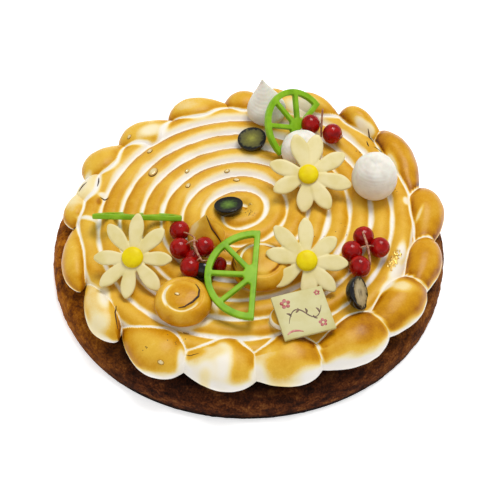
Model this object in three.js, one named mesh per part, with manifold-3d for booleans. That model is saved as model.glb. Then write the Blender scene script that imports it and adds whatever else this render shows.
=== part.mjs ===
// Lemon meringue tart: a dark baked pastry case, a piped and torched meringue spiral inside a
// border of piped shells, and the pieces set on top. Millimetres, +Z up, origin at the middle
// of the base.
import * as THREE from "three";
import { mergeVertices } from "three/addons/utils/BufferGeometryUtils.js";
import Module from "manifold-3d";

const wasm = await Module();
wasm.setup();

const DEG = Math.PI / 180;
const TURN = 2 * Math.PI;
const WELD = 1e-4;
const GAP = 0.3;

// Pastry case: a low wall with a rounded shoulder, filled to its flat top.
const CASE = {
  baseRadius: 104.5,
  wallTop: 7.5,
  shoulder: { radius: 102.2, height: 11.8 },
  lip: { radius: 97.5, height: 15.2 },
  rim: 95.5,
  top: 16,
  bulge: { share: 0.006, towards: -35 },
  ripple: { share: 0.002, waves: 5 },
  segments: 40,
};

// Meringue bed: a flat disc that carries the spiral.
const BED = {
  radius: 84,
  middle: { x: 1.5, y: 6 },
  edge: 2,
  bottom: CASE.top + GAP,
  top: 24.2,
  segments: 28,
};

// Piped rope: it winds outward counter-clockwise, and its middle drifts to the right.
const ROPE = {
  pitch: 11.7,
  halfWidth: 5.5,
  base: 20,
  middle: 22.5,
  top: 28.5,
  noseTurns: [0.4, 0.55, 0.7],
  firstTurn: 0.76,
  lastTurn: 7.46,
  inset: 2.85,
  squash: 0.955,
  start: { x: -6.5, y: 6 },
  drift: { x: 9.5, y: -0.5 },
  steps: 102,
  stepEase: 0.8,
  facets: 4,
  noseSides: 8,
};

// Border shells, counter-clockwise from the front. Each is a teardrop bent along the rim: its
// round head is at the `to` angle and lies over the tail of the next shell.
const SHELL = {
  overlap: 8,
  middle: 21,
  foot: CASE.top + GAP,
  rings: 6,
  sides: 8,
  headBias: 1.32,
  fullness: 0.55,
};
const BORDER = [
  { from: 254, to: 273, radius: 88.5, halfWidth: 15, top: 32 },
  { from: 273, to: 292.5, radius: 87.5, halfWidth: 15, top: 32 },
  { from: 292.5, to: 315, radius: 90, halfWidth: 14, top: 32 },
  { from: 314, to: 335, radius: 91.5, halfWidth: 12.5, top: 32 },
  { from: 334.5, to: 357, radius: 93, halfWidth: 10.5, top: 31 },
  { from: 357, to: 378, radius: 94, halfWidth: 10.2, top: 31 },
  { from: 378, to: 404.5, radius: 92.5, halfWidth: 10, top: 33 },
  { from: 404.5, to: 419, radius: 95.5, halfWidth: 11, top: 34 },
  { from: 419, to: 433, radius: 93.5, halfWidth: 10.5, top: 33 },
  { from: 433, to: 447, radius: 93, halfWidth: 10.5, top: 33 },
  { from: 447, to: 461, radius: 91, halfWidth: 11, top: 31.5 },
  { from: 461, to: 481.5, radius: 89.5, halfWidth: 11.5, top: 31.5 },
  { from: 481.5, to: 504, radius: 87.5, halfWidth: 11.5, top: 31 },
  { from: 504, to: 519.5, radius: 90.5, halfWidth: 11, top: 30.5 },
  { from: 519.5, to: 533, radius: 89, halfWidth: 8, top: 29 },
  { from: 533, to: 542, radius: 90.5, halfWidth: 7, top: 28 },
  { from: 542, to: 570, radius: 88.5, halfWidth: 8, top: 30 },
  { from: 570, to: 593, radius: 90.5, halfWidth: 11.5, top: 31 },
  { from: 593, to: 614, radius: 90.5, halfWidth: 13.5, top: 32 },
];

// Plain white kisses and torched dollops stand on the meringue. A profile lists radius and
// height as shares of the piece's own radius and height, from the foot to the tip.
const KISS_PROFILE = [
  [0, 0], [0.78, 0], [0.97, 0.2], [1, 0.4], [0.88, 0.65], [0.6, 0.84], [0.24, 0.93], [0, 1],
];
const CONE_PROFILE = [
  [0, 0], [0.8, 0], [1, 0.14], [0.95, 0.34], [0.66, 0.55], [0.32, 0.72], [0.12, 0.88], [0, 1],
];
const PEAK_PROFILE = [
  [0, 0], [0.85, 0], [1, 0.12], [0.84, 0.32], [0.55, 0.55], [0.28, 0.78], [0, 1],
];
const DOLLOP_PROFILE = [
  [0, 0], [0.9, 0], [1, 0.3], [0.93, 0.6], [0.74, 0.82], [0.64, 0.84], [0.56, 0.97], [0, 1],
];
const MOUNDS = [
  { name: "kiss_right", at: [67.2, 20], radius: 12.3, height: 21, profile: KISS_PROFILE },
  { name: "kiss_upper", at: [29.5, 48.4], radius: 11.5, height: 17, profile: KISS_PROFILE },
  { name: "kiss_back", at: [10.6, 81], radius: 10.8, height: 24.5, profile: CONE_PROFILE, tip: [-2, 0] },
  { name: "dollop_front", at: [-32.1, -56.2], radius: 14.2, height: 11.5, profile: DOLLOP_PROFILE },
  { name: "dollop_middle", at: [5.7, -33.4], radius: 13.6, height: 10.4, profile: DOLLOP_PROFILE },
  { name: "dollop_peaked", at: [-20.4, -13.6], radius: 11, height: 18, profile: PEAK_PROFILE, tip: [-1, 0] },
  { name: "dollop_small", at: [17.5, -66.4], radius: 7.5, height: 5, profile: KISS_PROFILE },
];
const MOUND_FOOT = ROPE.top + GAP;
const MOUND_SIDES = 9;

// Daisies of white chocolate, leaning back by `lean` degrees.
const PETAL = {
  length: 21,
  waist: { along: 6.5, width: 3.8 },
  belly: { along: 14, width: 8.8 },
  thickness: 1.8,
  curveSteps: 2,
};
const DAISY_HUB = { radius: 4.6, sides: 8 };
const DAISY_CENTRE = { radius: 5.6, foot: PETAL.thickness / 2 + 1.1 * GAP, side: 0.9, top: 2.6, sides: 10 };
const DAISY_CROWN = { radius: 4.2, height: 2.2 };
const DAISIES = [
  { name: "daisy_left", at: [-57.1, -34.7, 38.8], lean: 26, petals: [84, 44, -2, -51, -98, -138, 180, 126] },
  { name: "daisy_upper", at: [32.3, 24.1, 38.8], lean: 26, petals: [114, 72, 31, -10, -57, -98, -154, 163] },
  { name: "daisy_right", at: [30, -36, 38.8], lean: 26, petals: [90, 43, -4, -44, -87, -143, 168, 129] },
];

// Lime half-slices: rim, straight bar, hub and three spokes. `along` runs down the bar and
// `bulge` points to the middle of the arc.
const SLICE = { rim: 3.8, bar: 3.2, spoke: 2.4, hub: 4.6, thickness: 2.6, rimSteps: 7, windowSteps: 1 };
const SLICE_WINDOWS = [0, 45, 90, 135];
const SLICES = [
  {
    name: "lime_slice_front",
    at: [3.9, -46.5, 39.6],
    radius: 25,
    along: [0.074, 0.977, 0.2],
    bulge: [-0.996, 0.083, -0.037],
  },
  {
    name: "lime_slice_back",
    at: [29, 62.9, 32],
    radius: 22.4,
    along: [0.518, 0.852, 0.06],
    bulge: [-0.638, 0.34, 0.69],
  },
  {
    name: "lime_slice_left",
    at: [-56.2, -7.3, 38],
    radius: 23,
    along: [0.999, -0.028, 0],
    bulge: [-0.05, 0.664, -0.746],
  },
];

// Redcurrants and their stems.
const CURRANT_SIDES = 8;
const CURRANT_BANDS = 5;
const CURRANTS = [
  { name: "redcurrant_left_1", at: [-35.1, -12.4, 33.6], radius: 4.7 },
  { name: "redcurrant_left_2", at: [-34.3, -24.6, 33.8], radius: 4.9 },
  { name: "redcurrant_left_3", at: [-28.6, -37.4, 34.4], radius: 4.9 },
  { name: "redcurrant_left_4", at: [-21.9, -26.2, 37], radius: 4.6 },
  { name: "redcurrant_left_5", at: [-27.5, -29.5, 32.5], radius: 3.6 },
  { name: "redcurrant_left_6", at: [-14.4, -33.5, 31.8], radius: 3.5 },
  { name: "redcurrant_top_1", at: [34.9, 65.3, 34.2], radius: 4.9 },
  { name: "redcurrant_top_2", at: [46.6, 58.2, 33.8], radius: 5 },
  { name: "redcurrant_right_1", at: [59.1, -16.9, 34], radius: 4.8 },
  { name: "redcurrant_right_2", at: [52.7, -26.5, 33.7], radius: 4.9 },
  { name: "redcurrant_right_3", at: [66.9, -23.7, 33.5], radius: 4.7 },
  { name: "redcurrant_right_4", at: [56.1, -36.6, 33.8], radius: 5 },
];
const STEM = { radius: 0.55, sides: 5, steps: 5 };
const STEMS = [
  { name: "stem_left", points: [[-26.6, -18.5, 39], [-27.2, -27.5, 39.6], [-23.4, -36.5, 38.4]] },
  { name: "stem_top", points: [[41.2, 67.8, 43.5], [40.8, 64, 36], [40.7, 60.2, 29.5]] },
  { name: "stem_right", points: [[58.1, -19.6, 40.6], [60.2, -28, 38.6], [61.4, -35.6, 34]] },
];

// Halved dark berries: `face` is the way the cut looks.
const HALF_BERRY = { depth: 0.82, sides: 10, bands: 3 };
const HALF_BERRIES = [
  { name: "dark_berry_back", at: [2.2, 57, 32.4], radius: 7.6, face: [-0.1, 0.1, 1] },
  { name: "dark_berry_middle", at: [-10.2, 8.2, 31], radius: 7.4, face: [0.12, -0.16, 1] },
  { name: "dark_berry_right", at: [55.2, -51, 34.4], radius: 7.6, face: [0.9, -0.2, 0.5] },
  { name: "dark_berry_left", at: [-21.8, -38.2, 32], radius: 6.2, face: [0.2, 0.9, -0.1] },
];

// Square sugar plaque leaning on the border.
const PLAQUE = { width: 26, height: 24.8, thickness: 1.8, at: [27, -65.7, 36], lean: 20, turn: 16.5 };

const LOOKS = {
  pastry: { color: 0x5a3119, roughness: 0.9, metalness: 0 },
  torched: { color: 0xd39b38, roughness: 0.5, metalness: 0 },
  kiss: { color: 0xe6e2dd, roughness: 0.6, metalness: 0 },
  chocolate: { color: 0xe3d69b, roughness: 0.45, metalness: 0 },
  yellow: { color: 0xecd40a, roughness: 0.4, metalness: 0 },
  lime: { color: 0x93bf33, roughness: 0.4, metalness: 0 },
  currant: { color: 0xa31217, roughness: 0.12, metalness: 0 },
  stem: { color: 0xb9846a, roughness: 0.6, metalness: 0 },
  darkBerry: { color: 0x1a1a24, roughness: 0.35, metalness: 0 },
};

// A closed geometry as a solid: vertices shared, flat triangles dropped, faces turned out.
function toSolid(geometry) {
  const bare = geometry.clone();
  bare.deleteAttribute("normal");
  bare.deleteAttribute("uv");
  const merged = mergeVertices(bare, WELD);
  const source = merged.index.array;
  const triangles = [];
  for (let i = 0; i < source.length; i += 3) {
    const [a, b, c] = [source[i], source[i + 1], source[i + 2]];
    if (a !== b && b !== c && c !== a) triangles.push(a, b, c);
  }
  const vertProperties = new Float32Array(merged.attributes.position.array);
  const build = (indices) => new wasm.Manifold(
    new wasm.Mesh({ numProp: 3, vertProperties, triVerts: new Uint32Array(indices) }));
  const solid = build(triangles);
  return solid.volume() > 0 ? solid : build(triangles.reverse());
}

function toGeometry(solid) {
  const mesh = solid.getMesh();
  const indexed = new THREE.BufferGeometry();
  indexed.setAttribute("position", new THREE.BufferAttribute(new Float32Array(mesh.vertProperties), 3));
  indexed.setIndex(Array.from(mesh.triVerts));
  const geometry = indexed.toNonIndexed();
  geometry.computeVertexNormals();
  return geometry;
}

function joined(solids) {
  return solids.reduce((whole, solid) => whole.add(solid));
}

// Lathe about +Z from [radius, height] pairs listed from the foot to the top.
function turned(profile, segments) {
  const points = profile.map(([radius, height]) => new THREE.Vector2(radius, height));
  return new THREE.LatheGeometry(points, segments).rotateX(Math.PI / 2);
}

// Every vertex of a geometry moved by a function of its position.
function reshaped(geometry, move) {
  const position = geometry.attributes.position;
  const point = new THREE.Vector3();
  for (let i = 0; i < position.count; i++) {
    point.fromBufferAttribute(position, i);
    move(point);
    position.setXYZ(i, point.x, point.y, point.z);
  }
  return geometry;
}

// The wall is pressed by hand, so its outline is a little uneven.
function pastryCase() {
  const { baseRadius, wallTop, shoulder, lip, rim, top, bulge, ripple, segments } = CASE;
  const profile = [
    [0, 0],
    [baseRadius, 0],
    [baseRadius, wallTop],
    [shoulder.radius, shoulder.height],
    [lip.radius, lip.height],
    [rim, top],
    [0, top],
  ];
  return reshaped(turned(profile, segments), (point) => {
    const angle = Math.atan2(point.y, point.x);
    const wide = bulge.share * Math.cos(angle - bulge.towards * DEG);
    const wavy = ripple.share * Math.sin(ripple.waves * angle);
    point.x *= 1 + wide + wavy;
    point.y *= 1 + wide + wavy;
  });
}

function ropeReach(turns) {
  return ROPE.pitch * turns - ROPE.inset;
}

// Middle of the rope after a number of turns, counted from the +X side.
function ropePoint(turns) {
  const share = turns / ROPE.lastTurn;
  const reach = ropeReach(turns);
  const x = ROPE.start.x + ROPE.drift.x * share + reach * Math.cos(TURN * turns);
  const y = ROPE.start.y + ROPE.drift.y * share + reach * ROPE.squash * Math.sin(TURN * turns);
  return new THREE.Vector3(x, y, ROPE.middle);
}

// Steps are shorter near the middle, where the rope turns tightly. The path is `grow` longer at
// each end.
class RopePath extends THREE.Curve {
  constructor(grow) {
    super();
    this.first = ROPE.firstTurn - grow / (TURN * ropeReach(ROPE.firstTurn));
    this.last = ROPE.lastTurn + grow / (TURN * ropeReach(ROPE.lastTurn));
  }

  getPoint(share) {
    return ropePoint(this.first + share * (this.last - this.first));
  }

  getUtoTmapping(share) {
    return share ** ROPE.stepEase;
  }
}

// Domed section of the rope. Across the path is y, and x points down.
function ropeSection(grow) {
  const half = ROPE.halfWidth + grow;
  const rise = ROPE.top - ROPE.middle + grow;
  const sink = ROPE.middle - ROPE.base + grow;
  const shape = new THREE.Shape();
  shape.moveTo(sink, -half);
  for (let i = 0; i <= ROPE.facets; i++) {
    const angle = (Math.PI * i) / ROPE.facets;
    shape.lineTo(-rise * Math.sin(angle), -half * Math.cos(angle));
  }
  shape.lineTo(sink, half);
  shape.closePath();
  return shape;
}

function rope(grow) {
  return new THREE.ExtrudeGeometry(ropeSection(grow), { steps: ROPE.steps, extrudePath: new RopePath(grow) });
}

// The rope's first, tightest turn: a row of overlapping domes.
function nose(turns, grow) {
  const { halfWidth, base, middle, top, facets, noseSides } = ROPE;
  const profile = [[0, base - middle - grow], [halfWidth + grow, base - middle - grow]];
  for (let i = 0; i < facets / 2; i++) {
    const angle = (Math.PI * i) / facets;
    profile.push([(halfWidth + grow) * Math.cos(angle), (top - middle + grow) * Math.sin(angle)]);
  }
  profile.push([0, top - middle + grow]);
  const { x, y, z } = ropePoint(turns);
  return turned(profile, noseSides).translate(x, y, z);
}

function bed(grow) {
  const { radius, middle, edge, bottom, top, segments } = BED;
  const profile = [
    [0, bottom - grow],
    [radius - edge + grow, bottom - grow],
    [radius + grow, bottom + edge],
    [radius + grow, top - edge],
    [radius - edge + grow, top + grow],
    [0, top + grow],
  ];
  return turned(profile, segments).scale(1, ROPE.squash, 1).translate(middle.x, middle.y, 0);
}

function spiral(grow) {
  const noses = ROPE.noseTurns.map((turns) => toSolid(nose(turns, grow)));
  return joined([toSolid(rope(grow)), toSolid(bed(grow)), ...noses]);
}

function shell(spec, grow) {
  const { overlap, middle, rings, sides, headBias, fullness } = SHELL;
  const start = (spec.from - overlap) * DEG;
  const length = (spec.to * DEG - start) * spec.radius;
  const profile = [];
  for (let i = 0; i <= rings; i++) {
    const share = i / rings;
    const swell = Math.abs(Math.sin(Math.PI * share ** headBias)) ** fullness;
    const radius = i === 0 || i === rings ? 0 : (spec.halfWidth + grow) * swell;
    profile.push(new THREE.Vector2(radius, share * (length + 2 * grow) - grow));
  }
  const flatten = (spec.top - middle + grow) / (spec.halfWidth + grow);
  return reshaped(new THREE.LatheGeometry(profile, sides), (point) => {
    const angle = start + point.y / spec.radius;
    const reach = spec.radius + point.x;
    point.set(reach * Math.cos(angle), reach * Math.sin(angle), middle + point.z * flatten);
  });
}

function mound(spec, grow) {
  const { radius, height, profile, tip = [0, 0] } = spec;
  const pairs = profile.map(([across, up]) => [across ? across * radius + grow : 0, up * (height + grow)]);
  return reshaped(turned(pairs, MOUND_SIDES), (point) => {
    const bend = (point.z / height) ** 2;
    point.x += tip[0] * bend;
    point.y += tip[1] * bend;
  });
}

function flatPlate(shape, thickness, curveSegments) {
  const settings = { depth: thickness, bevelEnabled: false, curveSegments };
  return new THREE.ExtrudeGeometry(shape, settings).translate(0, 0, -thickness / 2);
}

function petal(angle, grow) {
  const { length, waist, belly, thickness, curveSteps } = PETAL;
  const tip = length + grow;
  const half = belly.width / 2 + grow;
  const narrow = waist.width / 2 + grow;
  const shape = new THREE.Shape();
  shape.moveTo(0, -narrow);
  shape.lineTo(waist.along, -narrow);
  shape.lineTo(belly.along, -half);
  shape.quadraticCurveTo(tip, -half, tip, 0);
  shape.quadraticCurveTo(tip, half, belly.along, half);
  shape.lineTo(waist.along, narrow);
  shape.lineTo(0, narrow);
  shape.closePath();
  return flatPlate(shape, thickness + 2 * grow, curveSteps).rotateZ(angle * DEG);
}

function daisyPetals(spec, grow) {
  const hubHeight = PETAL.thickness + 2 * grow;
  const hub = new THREE.CylinderGeometry(DAISY_HUB.radius, DAISY_HUB.radius, hubHeight, DAISY_HUB.sides);
  const petals = spec.petals.map((angle) => toSolid(petal(angle, grow)));
  return toGeometry(joined([toSolid(hub.rotateX(Math.PI / 2)), ...petals]));
}

function daisyCentre() {
  const { radius, foot, side, top, sides } = DAISY_CENTRE;
  const profile = [
    [0, foot],
    [radius, foot],
    [radius, foot + side],
    [DAISY_CROWN.radius, foot + DAISY_CROWN.height],
    [0, foot + top],
  ];
  return turned(profile, sides);
}

function halfDisc(outer, grow) {
  const { bar, thickness, rimSteps } = SLICE;
  const plate = new THREE.Shape();
  plate.moveTo(outer, -bar / 2);
  plate.lineTo(outer, 0);
  plate.absarc(0, 0, outer, 0, Math.PI, false);
  plate.lineTo(-outer, -bar / 2);
  plate.closePath();
  return toSolid(flatPlate(plate, thickness + 2 * grow, rimSteps));
}

// Opening between two spokes, or between a spoke and the bar.
function sliceWindow(angle, reach) {
  const { bar, spoke, hub, thickness, windowSteps } = SLICE;
  const low = angle * DEG;
  const high = low + Math.PI / SLICE_WINDOWS.length;
  const inset = angle === SLICE_WINDOWS[0] ? bar / 2 : spoke / 2;
  const outset = angle === SLICE_WINDOWS.at(-1) ? bar / 2 : spoke / 2;
  const hole = new THREE.Shape();
  hole.absarc(0, 0, hub, low + inset / hub, high - outset / hub, false);
  hole.absarc(0, 0, reach, high - outset / reach, low + inset / reach, true);
  hole.closePath();
  return toSolid(flatPlate(hole, thickness * 2, windowSteps));
}

// The room that a slice takes up has no openings.
function limeSlice(spec, grow) {
  const disc = halfDisc(spec.radius + grow, grow);
  if (grow > 0) return toGeometry(disc);
  const windows = SLICE_WINDOWS.map((angle) => sliceWindow(angle, spec.radius - SLICE.rim));
  return toGeometry(windows.reduce((left, hole) => left.subtract(hole), disc));
}

function currant(spec, grow) {
  return new THREE.SphereGeometry(spec.radius + grow, CURRANT_SIDES, CURRANT_BANDS);
}

function stem(spec, grow) {
  const section = new THREE.Shape();
  for (let i = 0; i < STEM.sides; i++) {
    const angle = (TURN * i) / STEM.sides;
    const corner = [(STEM.radius + grow) * Math.cos(angle), (STEM.radius + grow) * Math.sin(angle)];
    if (i === 0) section.moveTo(...corner);
    else section.lineTo(...corner);
  }
  section.closePath();
  const path = new THREE.CatmullRomCurve3(spec.points.map((point) => new THREE.Vector3(...point)));
  return new THREE.ExtrudeGeometry(section, { steps: STEM.steps, extrudePath: path });
}

function halfBerry(spec, grow) {
  const { depth, sides, bands } = HALF_BERRY;
  const radius = spec.radius + grow;
  const profile = [[0, -radius * depth]];
  for (let i = 1; i < bands; i++) {
    const angle = (Math.PI / 2) * (i / bands);
    profile.push([radius * Math.sin(angle), -radius * depth * Math.cos(angle)]);
  }
  profile.push([radius, grow], [0, grow]);
  return turned(profile, sides);
}

function plaque(grow) {
  const { width, height, thickness } = PLAQUE;
  return new THREE.BoxGeometry(width + 2 * grow, height + 2 * grow, thickness + 2 * grow);
}

const tart = new THREE.Group();
const placedSolids = [];

// A named mesh placed by `holder`, cut back to clear the solids in `neighbours`.
function place(name, look, geometry, holder, neighbours) {
  holder.updateMatrix();
  const world = toSolid(geometry.clone().applyMatrix4(holder.matrix));
  const cut = neighbours.reduce((left, other) => left.subtract(other), world);
  const local = toGeometry(cut).applyMatrix4(holder.matrix.clone().invert());
  const mesh = new THREE.Mesh(local, new THREE.MeshStandardMaterial(LOOKS[look]));
  mesh.name = name;
  mesh.position.copy(holder.position);
  mesh.quaternion.copy(holder.quaternion);
  tart.add(mesh);
}

// The room that a piece takes up, with its clearance.
function takeRoom(grown, holder) {
  holder.updateMatrix();
  placedSolids.push(toSolid(grown.applyMatrix4(holder.matrix)));
}

function holderAt(position = [0, 0, 0]) {
  const holder = new THREE.Object3D();
  holder.position.set(...position);
  return holder;
}

function leaning(position, lean, turn = 0) {
  const holder = holderAt(position);
  holder.rotation.set(lean * DEG, 0, turn * DEG);
  return holder;
}

function sliceHolder(spec) {
  const holder = holderAt(spec.at);
  const along = new THREE.Vector3(...spec.along).normalize();
  const face = new THREE.Vector3().crossVectors(along, new THREE.Vector3(...spec.bulge)).normalize();
  const bulge = new THREE.Vector3().crossVectors(face, along);
  holder.quaternion.setFromRotationMatrix(new THREE.Matrix4().makeBasis(along, bulge, face));
  return holder;
}

function facing(position, direction) {
  const holder = holderAt(position);
  const up = new THREE.Vector3(0, 0, 1);
  holder.quaternion.setFromUnitVectors(up, new THREE.Vector3(...direction).normalize());
  return holder;
}

// One topping: cut clear of everything below it, then added to what later pieces must clear.
function addTopping(name, look, holder, build) {
  place(name, look, build(0), holder, placedSolids);
  takeRoom(build(GAP), holder);
}

function addBase() {
  place("pastry_case", "pastry", pastryCase(), holderAt(), []);
  place("meringue_spiral", "torched", toGeometry(spiral(0)), holderAt(), []);
  const spiralRoom = spiral(GAP);
  placedSolids.push(spiralRoom);
  return spiralRoom;
}

// Everything below the height at which the shells stand.
function belowShells() {
  const reach = 2 * CASE.baseRadius;
  const floor = new THREE.CylinderGeometry(reach, reach, SHELL.foot, SHELL.sides);
  return toSolid(floor.rotateX(Math.PI / 2).translate(0, 0, SHELL.foot / 2));
}

function addBorder(spiralRoom) {
  const heads = BORDER.map((spec) => toSolid(shell(spec, GAP)));
  BORDER.forEach((spec, index) => {
    const previous = heads[(index + BORDER.length - 1) % BORDER.length];
    const name = `border_shell_${String(index + 1).padStart(2, "0")}`;
    place(name, "torched", shell(spec, 0), holderAt(), [belowShells(), spiralRoom, previous]);
  });
  placedSolids.push(...heads);
}

function addToppings() {
  for (const spec of MOUNDS) {
    const look = spec.name.startsWith("kiss") ? "kiss" : "torched";
    addTopping(spec.name, look, holderAt([...spec.at, MOUND_FOOT]), (grow) => mound(spec, grow));
  }
  for (const spec of SLICES) {
    addTopping(spec.name, "lime", sliceHolder(spec), (grow) => limeSlice(spec, grow));
  }
  for (const spec of HALF_BERRIES) {
    addTopping(spec.name, "darkBerry", facing(spec.at, spec.face), (grow) => halfBerry(spec, grow));
  }
  for (const spec of CURRANTS) {
    addTopping(spec.name, "currant", holderAt(spec.at), (grow) => currant(spec, grow));
  }
  for (const spec of STEMS) {
    addTopping(spec.name, "stem", holderAt(), (grow) => stem(spec, grow));
  }
  for (const spec of DAISIES) {
    const holder = leaning(spec.at, spec.lean);
    addTopping(`${spec.name}_petals`, "chocolate", holder, (grow) => daisyPetals(spec, grow));
    addTopping(`${spec.name}_centre`, "yellow", holder, daisyCentre);
  }
  addTopping("plaque", "chocolate", leaning(PLAQUE.at, PLAQUE.lean, PLAQUE.turn), plaque);
}

addBorder(addBase());
addToppings();

export default tart;
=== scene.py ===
"""Torched lemon meringue tart.

A dark baked pastry case carries a piped and torched meringue spiral inside a border of piped
shells. Lime slices, berries, daisies and a plaque are set on top. Metres, +Z up, the origin at
the middle of the base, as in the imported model.
"""
import math
import random

import bmesh
import bpy
from mathutils import Matrix, Vector, noise
from mathutils.bvhtree import BVHTree


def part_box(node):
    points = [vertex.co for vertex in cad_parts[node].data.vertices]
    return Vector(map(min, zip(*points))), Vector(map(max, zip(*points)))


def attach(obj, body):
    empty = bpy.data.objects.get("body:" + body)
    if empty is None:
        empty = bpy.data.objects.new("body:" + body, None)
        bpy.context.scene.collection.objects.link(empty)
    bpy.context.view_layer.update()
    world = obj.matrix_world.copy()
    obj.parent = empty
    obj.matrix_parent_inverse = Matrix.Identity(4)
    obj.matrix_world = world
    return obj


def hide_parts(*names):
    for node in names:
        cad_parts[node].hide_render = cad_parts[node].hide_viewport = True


MM = 0.001
TURN = 2 * math.pi
UP = Vector((0, 0, 1))

# Points closer together than the first are merged, and gaps are measured up to the second.
WELD = 0.01 * MM
WIDEST_GAP = 8 * MM

# Unevenness of each surface: size and height of its lumps in millimetres.
LUMPS = {
    "case": [(26, 1), (5, 0.9), (1.4, 0.5)],
    "spiral": [(15, 0.8)],
    "shell": [(13, 1), (5, 0.25)],
    "kiss": [(6, 0.6)],
    "dollop": [(7, 0.6)],
    "button": [(4, 0.3)],
    "plaque": [(9, 0.35)],
}

# Pastry case, and the rings of its wall: radius share and height in millimetres. The outline is
# a little uneven, as in the solid: wider towards one side, rippled, swollen at the front left and
# drawn in under the back left shells.
CASE_RADIUS = 104.1 * MM
CASE_TOP = 16 * MM
CASE_RINGS = [(0.996, 0), (1, 0.4), (1.002, 2.5), (1.001, 5), (0.998, 7.6), (0.984, 11),
              (0.958, 13.9), (0.93, 15.3), (0.9, 15.8), (0.84, 15.8)]
CASE_WIDER = {"share": 0.006, "towards": math.radians(-35)}
CASE_RIPPLE = {"share": 0.002, "waves": 5}
CASE_LOBES = [{"share": 0.01, "towards": math.radians(-128), "sharpness": 3},
              {"share": -0.018, "towards": math.radians(150), "sharpness": 20}]

# Piped rope: it winds outward counter-clockwise from an open core. Its middle drifts towards the
# front, and its turns bulge a little towards the back right and the front left. The flame missed
# it most where it runs behind the middle.
ROPE_PITCH = 11.02 * MM
ROPE_INSET = 2.95 * MM
ROPE_START = Vector((-4.4, 7.2, 21.8)) * MM
ROPE_DRIFT = Vector((0.9, -4.15, 0)) * MM
ROPE_SQUASH = 1.03
ROPE_BULGE = 1.3 * MM
ROPE_FIRST, ROPE_LAST = 0.25, 8.22
ROPE_THICKNESS = 6.4 * MM
ROPE_POINTS_A_TURN = 110
ROPE_CORE = 1.3
ROPE_BROWN = 0.44
ROPE_MISSED = math.radians(102)
SPIRAL_GRAIN = 0.75 * MM

# Meringue bed under the rope.
BED_MIDDLE = Vector((0.5, 2, 19.8)) * MM
BED_RADIUS = 90 * MM
BED_DEPTH = 7 * MM
BED_SQUASH = 0.955
BED_EDGE = 1.5 * MM

# Border shells, counter-clockwise from the front: the angles of tail and head, the rim radius,
# half the width and the top in millimetres, and how far the head swings outwards in degrees.
# Then what the flame did: how brown it is, how far the pale skirt climbs at tail and head, and
# the stretch that stayed pale: from, to and how much.
SHELL_MIDDLE = 21 * MM
SHELL_FOOT = 16.2 * MM
SHELL_BIAS = 1.65
SHELL_BLUNTNESS = 0.58
SHELL_RINGS = 11
SHELL_TIP = 0.006
SHELLS = [
    (242.6, 275.2, 88.5, 15, 32, 0, 0.44, (0.95, 0.5), None),
    (262, 295.5, 87.5, 15, 32, 0, 0.66, (1.1, 0.72), None),
    (282, 319, 90, 14, 32, 0, 0.66, (0.85, 0.55), None),
    (303, 338.5, 91.5, 12.5, 32, 0, 0.57, (0.5, 0.3), None),
    (324, 356, 93.5, 9.8, 31, 0, 0.53, (0.2, 0.1), None),
    (346, 377.5, 93.6, 10.8, 31, 9, 0.54, (0.1, 0.05), None),
    (366, 406, 94.6, 10, 33, 12, 0.6, (0, 0), None),
    (397, 419, 98, 8.6, 34.5, 4, 0.46, (0, 0), None),
    (411, 437, 95.3, 9, 33.8, 10, 0.44, (0, 0), None),
    (424, 449, 93, 11, 33, 5, 0.46, (0, 0), None),
    (436, 459.3, 91, 11.3, 31.5, 4, 0.42, (0, 0), None),
    (451, 479.6, 90.6, 11.3, 31.2, 6, 0.35, (0, 0), None),
    (472, 502.6, 87.2, 11.8, 30.8, 7, 0.33, (0, 0), None),
    (495, 520, 90.5, 11.3, 30.5, 5, 0.36, (0, 0), None),
    (508, 533, 87.9, 8, 29, 0, 0.36, (0.1, 0.1), (0.1, 0.9, 0.6)),
    (521, 540.5, 91.7, 7.4, 28, 0, 0.38, (0.1, 0.1), (0.3, 0.6, 0.5)),
    (534, 567.5, 90.9, 7.4, 30, 9, 0.42, (0.1, 0.1), None),
    (560.5, 590.2, 91.4, 8.6, 31, 15, 0.42, (0.2, 0.5), None),
    (583.5, 613, 90.1, 14.2, 32, 8, 0.46, (0.2, 0.5), None),
]

# The flame also reached between these ones.
TOUCHING_SHELLS = range(7, 16)

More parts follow.
